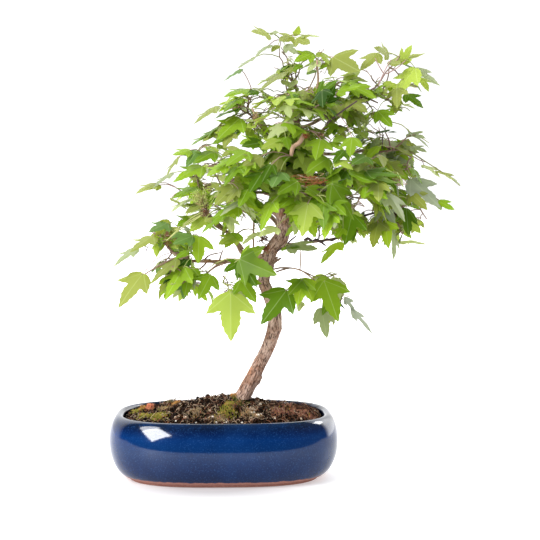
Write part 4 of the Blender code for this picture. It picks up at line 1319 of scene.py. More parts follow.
# %% [markdown]
# ## One leaf
# A trident maple's leaf has three pointed lobes on a rounded base, with a rib in each lobe. Half of its
# outline is drawn once, cut along the ribs and across, and mirrored. A cut beside each rib leaves a narrow
# strip for the pale rib. The flat leaf can then be folded, drooped and twisted anew for every copy.

# %% Leaf's outline
SPREAD_LEAF = (
    (0.0, 0.0), (0.09, -0.025), (0.20, 0.015), (0.275, 0.07), (0.335, 0.11), (0.37, 0.19), (0.43, 0.255),
    (0.445, 0.335), (0.49, 0.43), (0.41, 0.41), (0.335, 0.405), (0.26, 0.37), (0.195, 0.37), (0.185, 0.44),
    (0.205, 0.51), (0.18, 0.575), (0.185, 0.65), (0.14, 0.71), (0.13, 0.785), (0.075, 0.85), (0.05, 0.92),
    (0.0, 1.0),
)
NARROW_LEAF = (
    (0.0, 0.0), (0.08, -0.01), (0.165, 0.035), (0.22, 0.10), (0.275, 0.16), (0.295, 0.25), (0.345, 0.32),
    (0.355, 0.41), (0.39, 0.53), (0.315, 0.495), (0.25, 0.475), (0.195, 0.43), (0.155, 0.44), (0.155, 0.51),
    (0.175, 0.58), (0.145, 0.65), (0.14, 0.73), (0.10, 0.79), (0.085, 0.86), (0.035, 0.92), (0.0, 1.0),
)
YOUNG_LEAF = (
    (0.0, 0.0), (0.09, 0.0), (0.17, 0.06), (0.215, 0.14), (0.25, 0.23), (0.275, 0.32), (0.30, 0.42),
    (0.245, 0.42), (0.205, 0.44), (0.20, 0.52), (0.18, 0.61), (0.145, 0.71), (0.105, 0.80), (0.055, 0.90),
    (0.0, 1.0),
)
RIB_HALF_WIDTH = 0.011
SIDE_RIB_WIDTH = RIB_HALF_WIDTH * 1.7
SIDE_RIB_END = 0.9
CROSS_CUTS = (0.24, 0.62)
SAME_PLACE = 1e-5


def leaf_template(outline):
    """A flat leaf of unit length with its joint at the origin and its tip along +Y, and its ribs' faces."""
    work = bmesh.new()
    work.faces.new([work.verts.new((x, y, 0.0)) for x, y in outline])
    lobe = Vector(max(outline, key=lambda corner: corner[0])).to_3d()
    across = Vector((lobe.y, -lobe.x, 0.0)).normalized()
    cuts = [(Vector((RIB_HALF_WIDTH, 0, 0)), Vector((1, 0, 0)))]
    cuts += [(Vector((0, 0, 0)), across), (across * SIDE_RIB_WIDTH, across)]
    cuts += [(Vector((0, height, 0)), Vector((0, 1, 0))) for height in CROSS_CUTS]
    for place, way in cuts:
        bmesh.ops.bisect_plane(work, geom=all_of(work), plane_co=place, plane_no=way, dist=SAME_PLACE)
    bmesh.ops.triangulate(work, faces=work.faces[:])
    bmesh.ops.mirror(work, geom=all_of(work), axis="X", merge_dist=SAME_PLACE)
    bmesh.ops.recalc_face_normals(work, faces=work.faces[:])
    if sum(face.normal.z for face in work.faces) < 0:
        bmesh.ops.reverse_faces(work, faces=work.faces[:])
    work.faces.ensure_lookup_table()
    ribs = []
    for face in work.faces:
        middle = face.calc_center_median()
        off_side_rib = Vector((abs(middle.x), middle.y, 0)).dot(across)
        on_middle_rib = abs(middle.x) < RIB_HALF_WIDTH
        on_side_rib = 0 < off_side_rib < SIDE_RIB_WIDTH and abs(middle.x) < lobe.x * SIDE_RIB_END
        ribs.append(on_middle_rib or on_side_rib)
    mesh, corners = template_of(work)
    return mesh, corners, np.array(ribs), lobe


LEAF_KINDS = [leaf_template(outline) for outline in (SPREAD_LEAF, NARROW_LEAF, YOUNG_LEAF)]
print("faces in a leaf of each kind:", [len(kind[0].polygons) for kind in LEAF_KINDS])


# %% Bending a leaf
Bend = namedtuple("Bend", "fold droop sides twist wave")
CURVED = Bend((-0.05, 0.22), (0.02, 0.30), (0.0, 0.5), (-0.22, 0.22), (0.01, 0.035))
FLATTER = Bend((-0.03, 0.06), (0.0, 0.14), (0.0, 0.25), (-0.12, 0.12), (0.01, 0.03))
RIB_SINK = 0.18
RIB_REACH = 0.09
WAVES_ALONG, WAVES_ACROSS = 13, 5
DROOP_SHORTENS = 0.12


def seeded_bend(rng, limits):
    """How one leaf folds, droops, cups, twists and waves, each within its limits."""
    return Bend(*[rng.uniform(*span) for span in limits])


def bent_leaf(kind, base, along, normal, size, bend):
    """The corners of a leaf of a size in metres, at its joint, with its tip along one direction."""
    _, corners, _, lobe = LEAF_KINDS[kind]
    x, y = corners[:, 0], corners[:, 1]
    wide = np.abs(x)
    off_rib = np.abs(wide * lobe.y - y * lobe.x) / lobe.length
    rib = np.minimum(wide, off_rib)
    lift = bend.fold * wide - bend.droop * y ** 2 - bend.sides * wide ** 2 + bend.twist * x * y
    wave = bend.wave * np.sin(WAVES_ALONG * y + WAVES_ACROSS * x) * wide * 3
    lift = lift - RIB_SINK * np.minimum(rib, RIB_REACH) + wave
    side = along.cross(normal).normalized()
    face = side.cross(along)
    axes = np.array([side, along, face])
    shape = np.stack([x, y * (1 - DROOP_SHORTENS * bend.droop), lift], axis=1) * size
    return np.array(base) + shape @ axes


print("most droop, by rule and where shown:", CURVED.droop[1], FLATTER.droop[1])

# %% [markdown]
# ### Leaf tints
# Young leaves at the ends are lime or olive, and grown ones run from fresh green to deep green. Leaves that
# face away from the lamp look greyer; the grey and silver tints are that look as painted light. Light also
# passes through a leaf, so each tint mixes a satin top surface with a share of translucent green. A spray
# keeps mostly to one tint, as a real shoot does.

# %% Leaf finishes
TINTS = {  # the top's colour, and that of the light which comes through
    "lime": ((0.320, 0.412, 0.070), (0.52, 0.68, 0.07)),
    "fresh": ((0.198, 0.322, 0.022), (0.46, 0.66, 0.03)),
    "mid": ((0.128, 0.230, 0.014), (0.32, 0.50, 0.015)),
    "deep": ((0.060, 0.128, 0.006), (0.17, 0.32, 0.01)),
    "dark": ((0.018, 0.056, 0.003), (0.06, 0.14, 0.006)),
    "teal": ((0.100, 0.185, 0.045), (0.24, 0.40, 0.08)),
    "olive": ((0.218, 0.248, 0.062), (0.42, 0.50, 0.05)),
    # grey and silver are painted light: the greyer look of leaves that face away from the lamp
    "grey": ((0.250, 0.290, 0.160), (0.38, 0.47, 0.15)),
    "silver": ((0.26, 0.30, 0.21), (0.38, 0.44, 0.26)),
    "pale": ((0.40, 0.46, 0.21), (0.58, 0.66, 0.20)),
}
TINT_NAMES = list(TINTS)
THROUGH_LIGHT = 0.34
LEAF_GLOSS = 0.06
LEAF_ROUGHNESS, RIB_ROUGHNESS = 0.40, 0.5
RIB_PALE, RIB_SHARES = 0.72, (0.168, 0.21, 0.098)  # a rib goes that far towards this pale value


def leaf_finish(name, top, through, roughness):
    """A leaf's skin: satin green on top, with light coming through from the other side."""
    finish = plain_finish(name, top, roughness, LEAF_GLOSS)
    tree = finish.node_tree
    satin = tree.nodes["Principled BSDF"].outputs[0]
    glow = add_node(tree, "BsdfTranslucent", None, {"Color": rgba(through)})
    mixed = add_node(tree, "MixShader", None, {0: THROUGH_LIGHT, 1: satin, 2: glow.outputs[0]})
    tree.links.new(mixed.outputs[0], tree.nodes["Material Output"].inputs["Surface"])
    return finish


leaf_finishes = []
for name, (top, through) in TINTS.items():
    paler = [value + (RIB_PALE - value) * share for value, share in zip(top, RIB_SHARES)]
    leaf_finishes.append(leaf_finish(f"leaf_{name}", top, through, LEAF_ROUGHNESS))
    leaf_finishes.append(leaf_finish(f"rib_{name}", paler, through, RIB_ROUGHNESS))
print("leaf tints:", ", ".join(TINT_NAMES))

# %% [markdown]
# ## Leaves that the photograph shows
# The leaves at the crown's edge and on its front give this tree its own face, so each of them is placed as
# it shows. A row gives the pixels of the leaf's joint and tip, its depth, its length, how far its blade
# turns from facing the viewer, and its tint. Each tint matches how its leaf looks in its light, so it
# carries painted light too: some leaves that lie in shade take a lighter tint. The stalk then finds the
# nearest twig.

# %% Shown leaves
ShownLeaf = namedtuple("ShownLeaf", "joint tip depth size turn tint stalk", defaults=(None,))  # mm, degrees
SHOWN_LEAVES = [ShownLeaf(*row) for row in (
    ((143, 273.5), (118, 305), -14, 38, 38, "olive", (172, 255.7)),
    ((176, 259), (149, 283), -18, 34, 62, "olive"), ((187, 258), (162, 282), -12, 32, 55, "dark"),
    ((184, 267), (166, 298), -26, 36, 42, "fresh"), ((211, 275), (199, 298), -30, 26, 10, "mid"),
    ((230.6, 293), (231.5, 339.5), -46, 43, 4, "lime", (219.5, 268)),
    ((199, 236), (199.5, 262.5), -30, 28, 20, "fresh"), ((193, 236), (174, 243), -26, 24, 35, "teal"),
    ((153, 236), (131, 251), -4, 30, 58, "olive"), ((136, 248), (112.3, 264), -4, 28, 64, "grey"),
    ((191, 267), (184, 295), -22, 28, 28, "mid"), ((156, 245), (158, 256), -10, 14, 30, "lime"),
    ((241, 280), (256, 301), -36, 28, 20, "mid", (233, 271.6)),
    ((239.5, 259), (276, 274.5), -46, 38, 8, "mid", (225, 248)),
    ((240, 260), (256.5, 284.5), -43, 30, 12, "deep", (225, 248)),
    ((241, 259), (263, 249.5), -42, 24, 15, "fresh", (225, 248)),
    ((241, 261), (224, 270.5), -40, 20, 20, "deep"), ((286.5, 290), (261, 323.7), -46, 38, 26, "deep"),
    ((303, 278), (312, 300), -40, 28, 22, "fresh"), ((303, 279), (296, 303), -41, 28, 28, "fresh"),
    ((302, 280), (288, 294), -42, 24, 30, "mid"), ((324, 281), (338, 319.6), -44, 38, 14, "mid"),
    ((321, 308), (327.3, 337.5), -20, 28, 22, "grey"), ((301.6, 302), (298.3, 311), -10, 14, 30, "pale"),
    ((345, 297), (357, 313), 6, 18, 62, "silver"), ((352, 308), (374.5, 332), 6, 30, 74, "silver"),
    ((289, 245), (317.5, 249.4), -20, 34, 56, "grey"), ((284, 247), (300, 246), -18, 20, 70, "mid"),
    ((338, 242), (318.3, 262), -16, 30, 66, "fresh"), ((397, 88), (395, 108), -14, 22, 25, "olive"),
    ((406, 94), (422.5, 107), 6, 22, 45, "deep"), ((377.7, 110.6), (389.7, 127.4), -24, 26, 10, "mid"),
    ((385, 140), (413, 156), 10, 34, 70, "olive"), ((412, 146), (425.5, 151), 6, 18, 60, "grey"),
    ((409, 133), (424, 138), 4, 20, 55, "grey"), ((424, 165), (440, 176), 10, 22, 68, "pale"),
    ((439, 171), (453, 180), 12, 22, 68, "olive"), ((450, 176), (460, 186), 12, 16, 70, "grey"),
    ((411, 179), (438, 208), -6, 38, 44, "silver"), ((437.4, 200.6), (452.6, 210), 0, 20, 35, "mid"),
    ((410.3, 193), (425, 207.7), -14, 24, 25, "olive"), ((403, 194), (407.5, 207), -12, 18, 30, "mid"),
    ((388.6, 194), (405.4, 219.6), -22, 30, 48, "grey"), ((410, 222), (419, 233), -6, 18, 25, "lime"),
    ((406, 208), (407.5, 236), -8, 28, 25, "deep"), ((399, 241), (427.6, 243), 0, 30, 78, "pale"),
    ((394, 233), (395.6, 259), -10, 26, 65, "grey"), ((352, 214), (344, 244), -40, 32, 8, "deep"),
    ((332, 184), (356, 219), -48, 36, 48, "mid"), ((366, 156), (350, 165), -40, 26, 40, "deep"),
    ((366, 171), (400, 176), -30, 32, 62, "deep"), ((378, 181), (377, 202), -34, 26, 10, "olive"),
    ((378, 222), (371, 247), -30, 28, 35, "olive"), ((386, 222), (385, 247), -24, 26, 40, "fresh"),
    ((328, 158), (306, 172), -60, 28, 30, "fresh"), ((345, 150), (332, 162), -52, 22, 40, "deep"),
    ((338, 160), (352, 168), -50, 20, 50, "lime"), ((330, 142), (343, 151), -48, 18, 40, "fresh"),
    ((268, 33), (251, 34.5), -6, 24, 45, "olive"), ((270.7, 33), (278.4, 34), 0, 12, 40, "grey"),
    ((297, 38), (308.7, 46.5), -4, 24, 20, "olive"), ((292, 36), (279, 44), 2, 22, 25, "olive"),
    ((296, 36), (299, 28), 4, 14, 30, "lime"), ((303, 35), (320, 36.6), 0, 20, 75, "pale"),
    ((285, 45), (297, 54.5), -8, 17, 20, "grey"), ((301, 64), (293, 72), -14, 15, 35, "mid"),
    ((294, 67), (284, 78), -12, 18, 40, "olive"), ((289, 72), (278, 79), -12, 16, 55, "fresh"),
    ((296, 80), (289, 89), -16, 14, 40, "pale"), ((299, 79), (308, 82), -10, 14, 74, "olive"),
    ((321, 52), (329, 66), -8, 18, 45, "lime"), ((317, 60), (307, 74), -14, 20, 40, "pale"),
    ((269, 45), (253, 57), -6, 22, 70, "grey"), ((278, 45), (271.4, 52.3), -4, 14, 35, "olive"),
    ((252.3, 58), (237, 71), -6, 22, 72, "grey"), ((240, 69), (223.3, 83), -6, 22, 70, "teal"),
    ((313, 53), (294, 62), -10, 24, 35, "fresh"), ((333, 57), (357.5, 74.5), -10, 36, 16, "olive"),
    ((314.5, 69.8), (306.2, 76.4), -8, 16, 45, "mid"), ((248, 89), (223.3, 95.5), -8, 28, 66, "fresh"),
    ((258, 91), (247, 95), -12, 16, 40, "deep"), ((284.7, 71.4), (258, 92), -14, 36, 68, "olive"),
    ((238, 99), (222.5, 112), -16, 24, 64, "mid"), ((240, 118), (217, 140), -18, 32, 35, "fresh"),
    ((322, 90), (321, 108), -30, 26, 30, "dark"), ((326, 103), (334.4, 88.8), -28, 22, 30, "dark"),
    ((171, 173), (151, 187), 0, 25, 74, "grey"), ((156, 183), (136.3, 193), -2, 24, 64, "olive"),
    ((178, 157), (164.5, 176), -8, 24, 72, "olive"), ((191, 150), (173, 156), -10, 22, 48, "fresh"),
    ((197.6, 150.5), (186.6, 166), -12, 22, 30, "teal"),
    ((215, 106.5), (193.3, 124.7), -4, 30, 66, "olive"), ((237, 109), (213, 118), -8, 30, 77, "deep"),
    ((225, 165), (207, 177), -26, 27, 50, "fresh"), ((214, 133), (203, 143), -14, 18, 50, "olive"),
    ((228, 137), (213, 145), -16, 22, 58, "mid"), ((259, 139), (240, 144), -26, 26, 52, "fresh"),
    ((194, 218), (178, 226), -20, 25, 46, "mid"), ((160, 185), (142, 189), -2, 18, 60, "olive"),
    ((217.5, 127), (192, 142), -12, 26, 78, "mid"), ((214, 152), (193, 163), -16, 26, 50, "mid"),
    ((202, 166), (173, 180), -16, 32, 54, "fresh"), ((196, 187), (172, 196), -16, 28, 66, "mid"),
    ((188.5, 199), (171, 212), -12, 28, 72, "pale"), ((230.6, 133), (224, 148.6), -28, 20, 30, "olive"),
    ((238, 166), (223, 184), -32, 26, 56, "mid"), ((233, 187), (215, 206), -30, 26, 25, "olive"),
    ((206, 216.5), (191, 232), -24, 25, 20, "lime"), ((206, 218), (215, 224), -22, 14, 40, "olive"),
    ((238, 207), (214, 216.5), -30, 28, 50, "mid"), ((228.7, 216.5), (233, 232), -32, 20, 30, "pale"),
    ((167.4, 223), (150, 232), -8, 24, 45, "teal"), ((179, 231), (186, 246), -18, 24, 35, "teal"),
    ((237, 234), (219, 245), -30, 27, 40, "lime"), ((280, 140), (261, 150.5), -46, 26, 35, "lime"),
    ((263, 142.5), (242, 146.5), -42, 26, 45, "deep"), ((247, 151), (226, 165), -40, 28, 45, "fresh"),
    ((261, 156), (243, 167), -44, 26, 35, "olive"), ((238, 148), (221, 156), -36, 20, 45, "olive"),
    ((232, 158), (214, 168), -30, 22, 60, "fresh"), ((250, 160), (243, 176), -48, 22, 30, "fresh"),
    ((285.6, 137), (289, 150), -44, 16, 20, "mid"), ((320.7, 139), (315, 160), -56, 26, 10, "fresh"),
    ((345, 137), (332, 143), -50, 20, 40, "fresh"), ((298, 181), (277.6, 193.6), -72, 26, 20, "mid"),
    ((280, 172), (272, 189), -66, 30, 30, "teal"), ((272, 164), (262, 180), -62, 22, 30, "deep"),
    ((262, 173), (250, 193), -58, 26, 25, "deep"), ((248, 189.6), (238.6, 205.5), -50, 22, 30, "mid"),
    ((272.5, 202), (258, 230), -54, 30, 56, "fresh"), ((238, 188), (226, 203), -44, 20, 40, "olive"),
    ((308, 203), (301.6, 236), -58, 32, 12, "lime"), ((324, 202.4), (321.5, 228), -54, 26, 25, "mid"),
    ((331, 201), (345, 215), -52, 22, 25, "mid"), ((335, 215), (333, 228), -50, 18, 35, "grey"),
    ((343, 228), (335, 238), -44, 18, 30, "mid"), ((276, 227), (259, 236), -48, 22, 50, "pale"),
    ((258, 232), (241, 243), -46, 24, 70, "pale"), ((237, 233), (225, 248), -40, 22, 35, "fresh"),
    ((401, 63), (411, 46.5), 0, 21, 30, "lime"), ((388, 62), (424, 54), 4, 34, 70, "olive"),
    ((389, 54), (374, 48), 2, 20, 40, "olive"), ((377, 53), (358.5, 72), 0, 26, 46, "olive"),
    ((415, 68), (390, 101), -10, 36, 52, "lime"), ((415, 68), (440, 85), 4, 28, 52, "grey"),
    ((337, 92), (358, 86), -24, 24, 50, "fresh"), ((352, 86), (376, 98), -26, 26, 40, "fresh"),
    ((350, 100), (366, 112), -34, 24, 35, "olive"), ((317, 96), (336, 80), -30, 24, 45, "deep"),
    ((349, 172), (403, 178), -34, 42, 68, "mid"), ((366, 186), (386, 198), -36, 26, 35, "mid"),
    ((352, 137), (348.8, 158), -56, 26, 12, "fresh"), ((428, 198), (441, 208), 2, 20, 60, "grey"),
    ((402, 198), (410, 207), -12, 14, 60, "pale"), ((240, 201), (219, 214), -40, 26, 68, "grey"),
    ((224, 213), (199, 231), -38, 28, 66, "mid"), ((224, 217), (235, 230), -36, 16, 60, "pale"),
    ((188, 251), (174, 258), -26, 15, 45, "mid"), ((171.5, 198), (189, 210), -10, 20, 82, "olive"),
    ((376, 132), (398, 132), -20, 22, 78, "dark"), ((210, 134), (190, 147), -10, 26, 70, "mid"),
    ((218, 127.5), (204, 140), -12, 20, 70, "olive"), ((236, 114), (225, 122), -16, 16, 70, "olive"),
    ((203, 203), (186, 214), -20, 24, 56, "olive"), ((198, 213), (182, 224), -18, 22, 64, "olive"),
    ((331, 214), (322, 238), -46, 26, 42, "fresh"), ((330, 62), (318, 70), -8, 16, 45, "fresh"),
    ((282, 80), (294, 90), -14, 16, 50, "pale"), ((196, 206), (181, 205), -16, 18, 70, "pale"),
    ((410, 132), (431.6, 147), 4, 24, 72, "grey"),
)]
print("leaves placed as they show:", len(SHOWN_LEAVES))

# %% Placing a shown leaf
Leaf = namedtuple("Leaf", "corners kind tint base along size root loose")
STALK_LOOKS = 6 * MM  # a stalk looks for its twig from this far behind the joint
STALK_DEEPER = 4  # mm
YOUNG_SIZE = 17  # mm: shorter leaves are of the young kind
NARROW_SHARE = 0.3
CENTRE_DEPTH = -22  # mm: rows that lie nearer than this take their depth from the crown's front
HANGING_FROM = 262  # pixels down
FRONT_INSET = 14.0
DEPTH_SQUEEZE = 0.25
CAD_FRONT = -93.0
NEARER_SMALLER, NEARER_STEP = 0.965, 50  # a leaf that comes 50 mm nearer is made this much smaller
DOWNWARD = -0.2


def crown_front(pixel):
    """The depth in mm at which a pixel's ray enters the crown, or nothing where it passes beside it."""
    eye, ray = np.array(EYE), np.array(ray_of(*pixel))
    entries = []
    for mass in MASSES:
        scale = np.array(mass.half) * MM
        start, way = (eye - np.array(mass.middle) * MM) / scale, ray / scale
        half_b, square = start @ way, way @ way
        under_root = half_b ** 2 - square * (start @ start - 1.0)
        if under_root > 0:
            entries.append((eye + ray * (-half_b - math.sqrt(under_root)) / square)[1] / MM)
    return min(entries, default=None)


def shown_depth(row):
    """Leaves on the crown's middle lie just inside its front, in the order of their given depths."""
    pixel = [(a + b) / 2 for a, b in zip(row.joint, row.tip)]
    front = crown_front(pixel)
    if row.depth > CENTRE_DEPTH or front is None or pixel[1] > HANGING_FROM:
        return row.depth
    return max(CAD_FRONT, front + FRONT_INSET + (row.depth - CENTRE_DEPTH) * DEPTH_SQUEEZE)


def shown_leaf(row, rng):
    """A leaf between two pixels. One that is longer than it looks brings its tip towards the viewer."""
    depth = shown_depth(row)
    joint, tip = place_of(row.joint, depth), place_of(row.tip, depth)
    size = row.size * MM * NEARER_SMALLER ** ((row.depth - depth) / NEARER_STEP)
    flat = tip - joint
    if size > flat.length:
        tip += BACKWARD * math.sqrt(size ** 2 - flat.length_squared)
    along = (tip - joint).normalized()
    facing = (BACKWARD - along * along.dot(BACKWARD)).normalized()
    turn = math.radians(row.turn) * (1 if along.cross(facing).z > 0 else -1)
    normal = Matrix.Rotation(turn, 3, along) @ facing
    if normal.z < DOWNWARD:
        normal = Matrix.Rotation(-turn, 3, along) @ facing
    kind = 2 if row.size < YOUNG_SIZE else (1 if rng.random() < NARROW_SHARE else 0)
    bend = seeded_bend(rng, FLATTER)
    corners = bent_leaf(kind, joint, along, normal, max(size, flat.length), bend)
    root = place_of(row.stalk, depth + STALK_DEEPER) if row.stalk else joint - along * STALK_LOOKS
    return Leaf(corners, kind, TINT_NAMES.index(row.tint), joint, along, size, root, True)


shown_rng = random.Random(61)
shown_leaves = [shown_leaf(row, shown_rng) for row in SHOWN_LEAVES]
print("longest shown leaf:", round(max(leaf.size for leaf in shown_leaves) / MM), "mm")

# %% [markdown]
# ## Leaves by rule
# The rest of the crown grows by rule. Each spray bears a leaf ahead and opposite pairs behind it, whose
# tips spread at the top of the crown and hang lower down. A leaf is left out where it would leave its
# mass, cross the trunk, cover a shown leaf or close an opening through which the photograph shows sky.

# %% Openings and outline
Opening = namedtuple("Opening", "across down half_width half_height")  # pixels
OPENINGS = [Opening(*row) for row in (
    (390, 129, 24, 11), (220, 278, 26, 9), (290, 278, 20, 8), (244, 227, 10, 13), (394, 72, 13, 9),
    (181, 166, 15, 10), (212, 236, 9, 6), (275, 90, 9, 7), (362, 206, 9, 5.5), (213, 248, 5, 4),
    (287, 58, 7, 5), (304, 83, 7, 6), (377, 104, 7, 6), (311, 229, 6, 6), (269, 223, 5, 5),
    (226, 255, 4, 4), (247, 244, 5, 3), (304, 69, 3.5, 6), (236, 192, 3, 2.5), (327, 226, 4, 4),
    (213, 162, 4.5, 4.5), (342, 123, 4, 4), (263, 197, 6, 4.5), (252, 72, 16, 11), (370, 62, 14, 9),
    (278, 225, 10, 16), (268, 262, 10, 14), (262, 330, 30, 18), (353, 195, 7, 3.5), (337, 145.5, 5, 2),
    (359, 151, 3, 2.5), (341, 163, 8, 2.5), (348, 131, 3, 2), (412, 118, 12, 10), (262, 46, 11, 7),
    (268, 64, 9, 8), (204, 112, 9, 7), (213.5, 141.5, 4, 3.5), (168, 193, 8, 8), (431, 212, 9, 7),
    (415, 188, 6, 5), (430, 158, 14, 7), (167, 160, 12, 9), (148, 247, 6, 5), (166, 255, 6, 5),
    (132, 272, 14, 8), (148, 290, 10, 10), (312, 262, 26, 9), (312, 306, 9, 12), (190, 222, 5, 5),
    (414, 98, 8, 6), (437, 196, 7, 5), (234, 62, 14, 10), (240, 262, 6, 4), (340, 262, 12, 9),
    (424, 140, 9, 7), (372, 74, 12, 8), (146, 264, 8, 7), (189, 303, 7, 4), (276, 118, 8, 5),
    (235, 141.5, 8, 4.5), (250.5, 153, 4, 4), (211, 163, 4.5, 3), (211, 179, 9, 5), (229, 181, 5.5, 6),
    (222, 205, 5, 3.5), (213.5, 211, 3.5, 4.5), (184.5, 181.5, 4, 2.5), (219, 291, 6, 4),
    (258, 302, 5, 7), (196.5, 147, 4, 2.5), (262, 109, 4, 5), (247, 116.5, 4, 2.5), (331, 63, 4, 4),
    (321, 64, 4, 6), (302, 68, 3, 5), (331, 87, 4, 4), (305, 84, 8, 6), (213, 187, 8, 4), (388, 70, 8, 8),
    (333, 271, 10, 6), (210, 110, 8, 8), (414, 213, 5, 4), (304, 123, 3.5, 6), (317, 124, 7, 4),
    (184, 202, 5, 5), (224, 84, 9, 5), (343.5, 93, 4, 3.5), (363, 107, 4, 3), (216, 120, 6, 6),
    (254, 100, 5, 3), (128, 268, 10, 6), (419, 165, 5, 4),
)]
OUTLINE = (
    (112, 262), (150, 232), (172, 206), (140, 192), (166, 170), (195, 125), (222, 97), (240, 70),
    (250, 33), (298, 27), (316, 42), (345, 70), (362, 50), (412, 52), (437, 84), (424, 104), (428, 140),
    (457, 182), (449, 208), (420, 236), (396, 250), (352, 246), (340, 264), (352, 300), (330, 335),
    (290, 310), (262, 322), (232, 340), (212, 306), (160, 302), (120, 304),
)
OPENING_SHARE = 0.92  # leaves keep out of this share of an opening's size
SHOWN_LEAF_REACH = 0.33 * 1.14  # pixels round its middle, for each mm of its length


def inside_outline(pixels):
    """True where a pixel lies in the crown's outline."""
    corners = np.array(OUTLINE, dtype=float)
    after = np.roll(corners, -1, axis=0)
    x, y = pixels[:, 0:1], pixels[:, 1:2]
    crosses = (corners[:, 1] > y) != (after[:, 1] > y)
    rise = np.where(after[:, 1] == corners[:, 1], 1e-9, after[:, 1] - corners[:, 1])
    at = corners[:, 0] + (y - corners[:, 1]) * (after[:, 0] - corners[:, 0]) / rise
    return (np.sum(crosses & (x < at), axis=1) % 2) == 1


def in_opening(pixels):
    """True if any of the pixels lies in an opening."""
    for opening in OPENINGS:
        far = ((pixels[:, 0] - opening.across) / opening.half_width) ** 2
        far = far + ((pixels[:, 1] - opening.down) / opening.half_height) ** 2
        if far.min() < OPENING_SHARE ** 2:
            return True
    return False


shown_middles = np.array([leaf.corners.mean(axis=0) for leaf in shown_leaves])
shown_pixels = pixels_of(shown_middles)
shown_reach = np.array([SHOWN_LEAF_REACH * leaf.size / MM for leaf in shown_leaves])
print("openings:", len(OPENINGS))

# %% Height and tint in the crown
LOW_SIZES = (18.0, 29.0)
HIGH_SIZES = (14.0, 24.0)
LOW_LEAF = (150 * MM, 58.0)  # a height, and the droop there in degrees
HIGH_LEAF = (350 * MM, 14.0)
RIGHT_FROM, LEFT_TO, HIGH_FROM = 120 * MM, -10 * MM, 300 * MM
SPRAY_TINTS = {  # the odds of each tint
    "high": {"lime": 24, "olive": 24, "fresh": 22, "mid": 6, "pale": 20, "deep": 4},
    "middle": {"mid": 12, "fresh": 32, "deep": 6, "lime": 24, "olive": 14, "dark": 2, "pale": 10},
    "left": {"fresh": 24, "olive": 22, "mid": 8, "lime": 24, "grey": 10, "teal": 2, "pale": 10},
    # on the right, away from the lamp, grey and silver tints paint the leaves' greyer look
    "right": {"deep": 6, "mid": 14, "grey": 18, "olive": 22, "fresh": 18, "silver": 10, "lime": 12},
}


def height_share(height):
    """From 0 at the lowest leaves to 1 at the highest."""
    return min(1.0, max(0.0, (height - LOW_LEAF[0]) / (HIGH_LEAF[0] - LOW_LEAF[0])))


def droop_at(height):
    """Leaves at the top spread nearly level, and those at the bottom hang."""
    return LOW_LEAF[1] + (HIGH_LEAF[1] - LOW_LEAF[1]) * height_share(height)


def spray_tint(tip, rng):
    """The tint of a spray by its place in the crown."""
    side = "right" if tip.x > RIGHT_FROM else ("left" if tip.x < LEFT_TO else "middle")
    odds = SPRAY_TINTS["high" if tip.z > HIGH_FROM else side]
    return rng.choices(list(odds), list(odds.values()))[0]


print("droop at the trunk's top, in degrees:", round(droop_at(trunk_line[-1][2])))

# %% One leaf by rule
STALK_SHARE = (0.35, 0.62)
STALK_RISE, STALK_DROOP = 22, 0.7
NODE_SPREAD, HEADING_SPREAD, DROOP_SPREAD, TILT_SPREAD = 22, 14, 16, (-14, 18)  # degrees
FACE_SPREAD = 0.28
FRONT_BIAS = 0.45  # low leaves in the middle face the viewer a little more
CROWN_MIDDLE = 48 * MM
CROWN_SIDE = 95 * MM
KIND_ODDS = (55, 25, 20)


def seeded_leaf(spray, turn, back, rng, tint):
    """One leaf of a spray at a turn from the way it grows, from a node that lies a little way back."""
    node = spray.tip - spray.ahead * back * MM
    ahead = math.degrees(math.atan2(spray.ahead.y, spray.ahead.x))
    compass = ahead + turn + rng.uniform(-NODE_SPREAD, NODE_SPREAD)
    droop = droop_at(node.z) + rng.uniform(-DROOP_SPREAD, DROOP_SPREAD)
    share = height_share(node.z)
    sizes = [low + (high - low) * share for low, high in zip(LOW_SIZES, HIGH_SIZES)]
    size = rng.uniform(*sizes) * MM
    stalk = size * rng.uniform(*STALK_SHARE)
    base = node + heading(compass, STALK_RISE - droop * STALK_DROOP) * stalk
    along = heading(compass + rng.uniform(-HEADING_SPREAD, HEADING_SPREAD), -droop)
    outward = base - Vector(spray.mass.middle) * MM
    outward.z = 0
    tilt = math.radians(droop_at(base.z) + rng.uniform(*TILT_SPREAD))
    beside = min(1.0, abs(base.x - CROWN_MIDDLE) / CROWN_SIDE)
    bias = FRONT_BIAS * (1 - share) * (1 - beside)
    normal = UP * math.cos(tilt) + outward.normalized() * math.sin(tilt) + Vector((0, -bias, 0))
    normal += Vector([rng.uniform(-FACE_SPREAD, FACE_SPREAD) for _ in range(3)])
    normal = (normal - along * along.dot(normal)).normalized()
    kind = rng.choices(range(len(LEAF_KINDS)), KIND_ODDS)[0]
    corners = bent_leaf(kind, base, along, normal, size, seeded_bend(rng, CURVED))
    return Leaf(corners, kind, TINT_NAMES.index(tint), base, along, size, node, False)


print("kinds of leaf and their odds:", len(LEAF_KINDS), KIND_ODDS)

# %% Room for a leaf
LEAF_SPACING = 6.0 * MM
CLEAR_OF_BARK = 1.5 * MM
TRUNK_STEP = 12  # every twelfth ring is enough
BEFORE_SHOWN = 4 * MM


def in_space(mass, places):
    """True where all places lie in the mass's ellipsoid."""
    offset = (places - np.array(mass.middle) * MM) / (np.array(mass.half) * MM)
    return bool((np.sum(offset ** 2, axis=1) < 1.0).all())


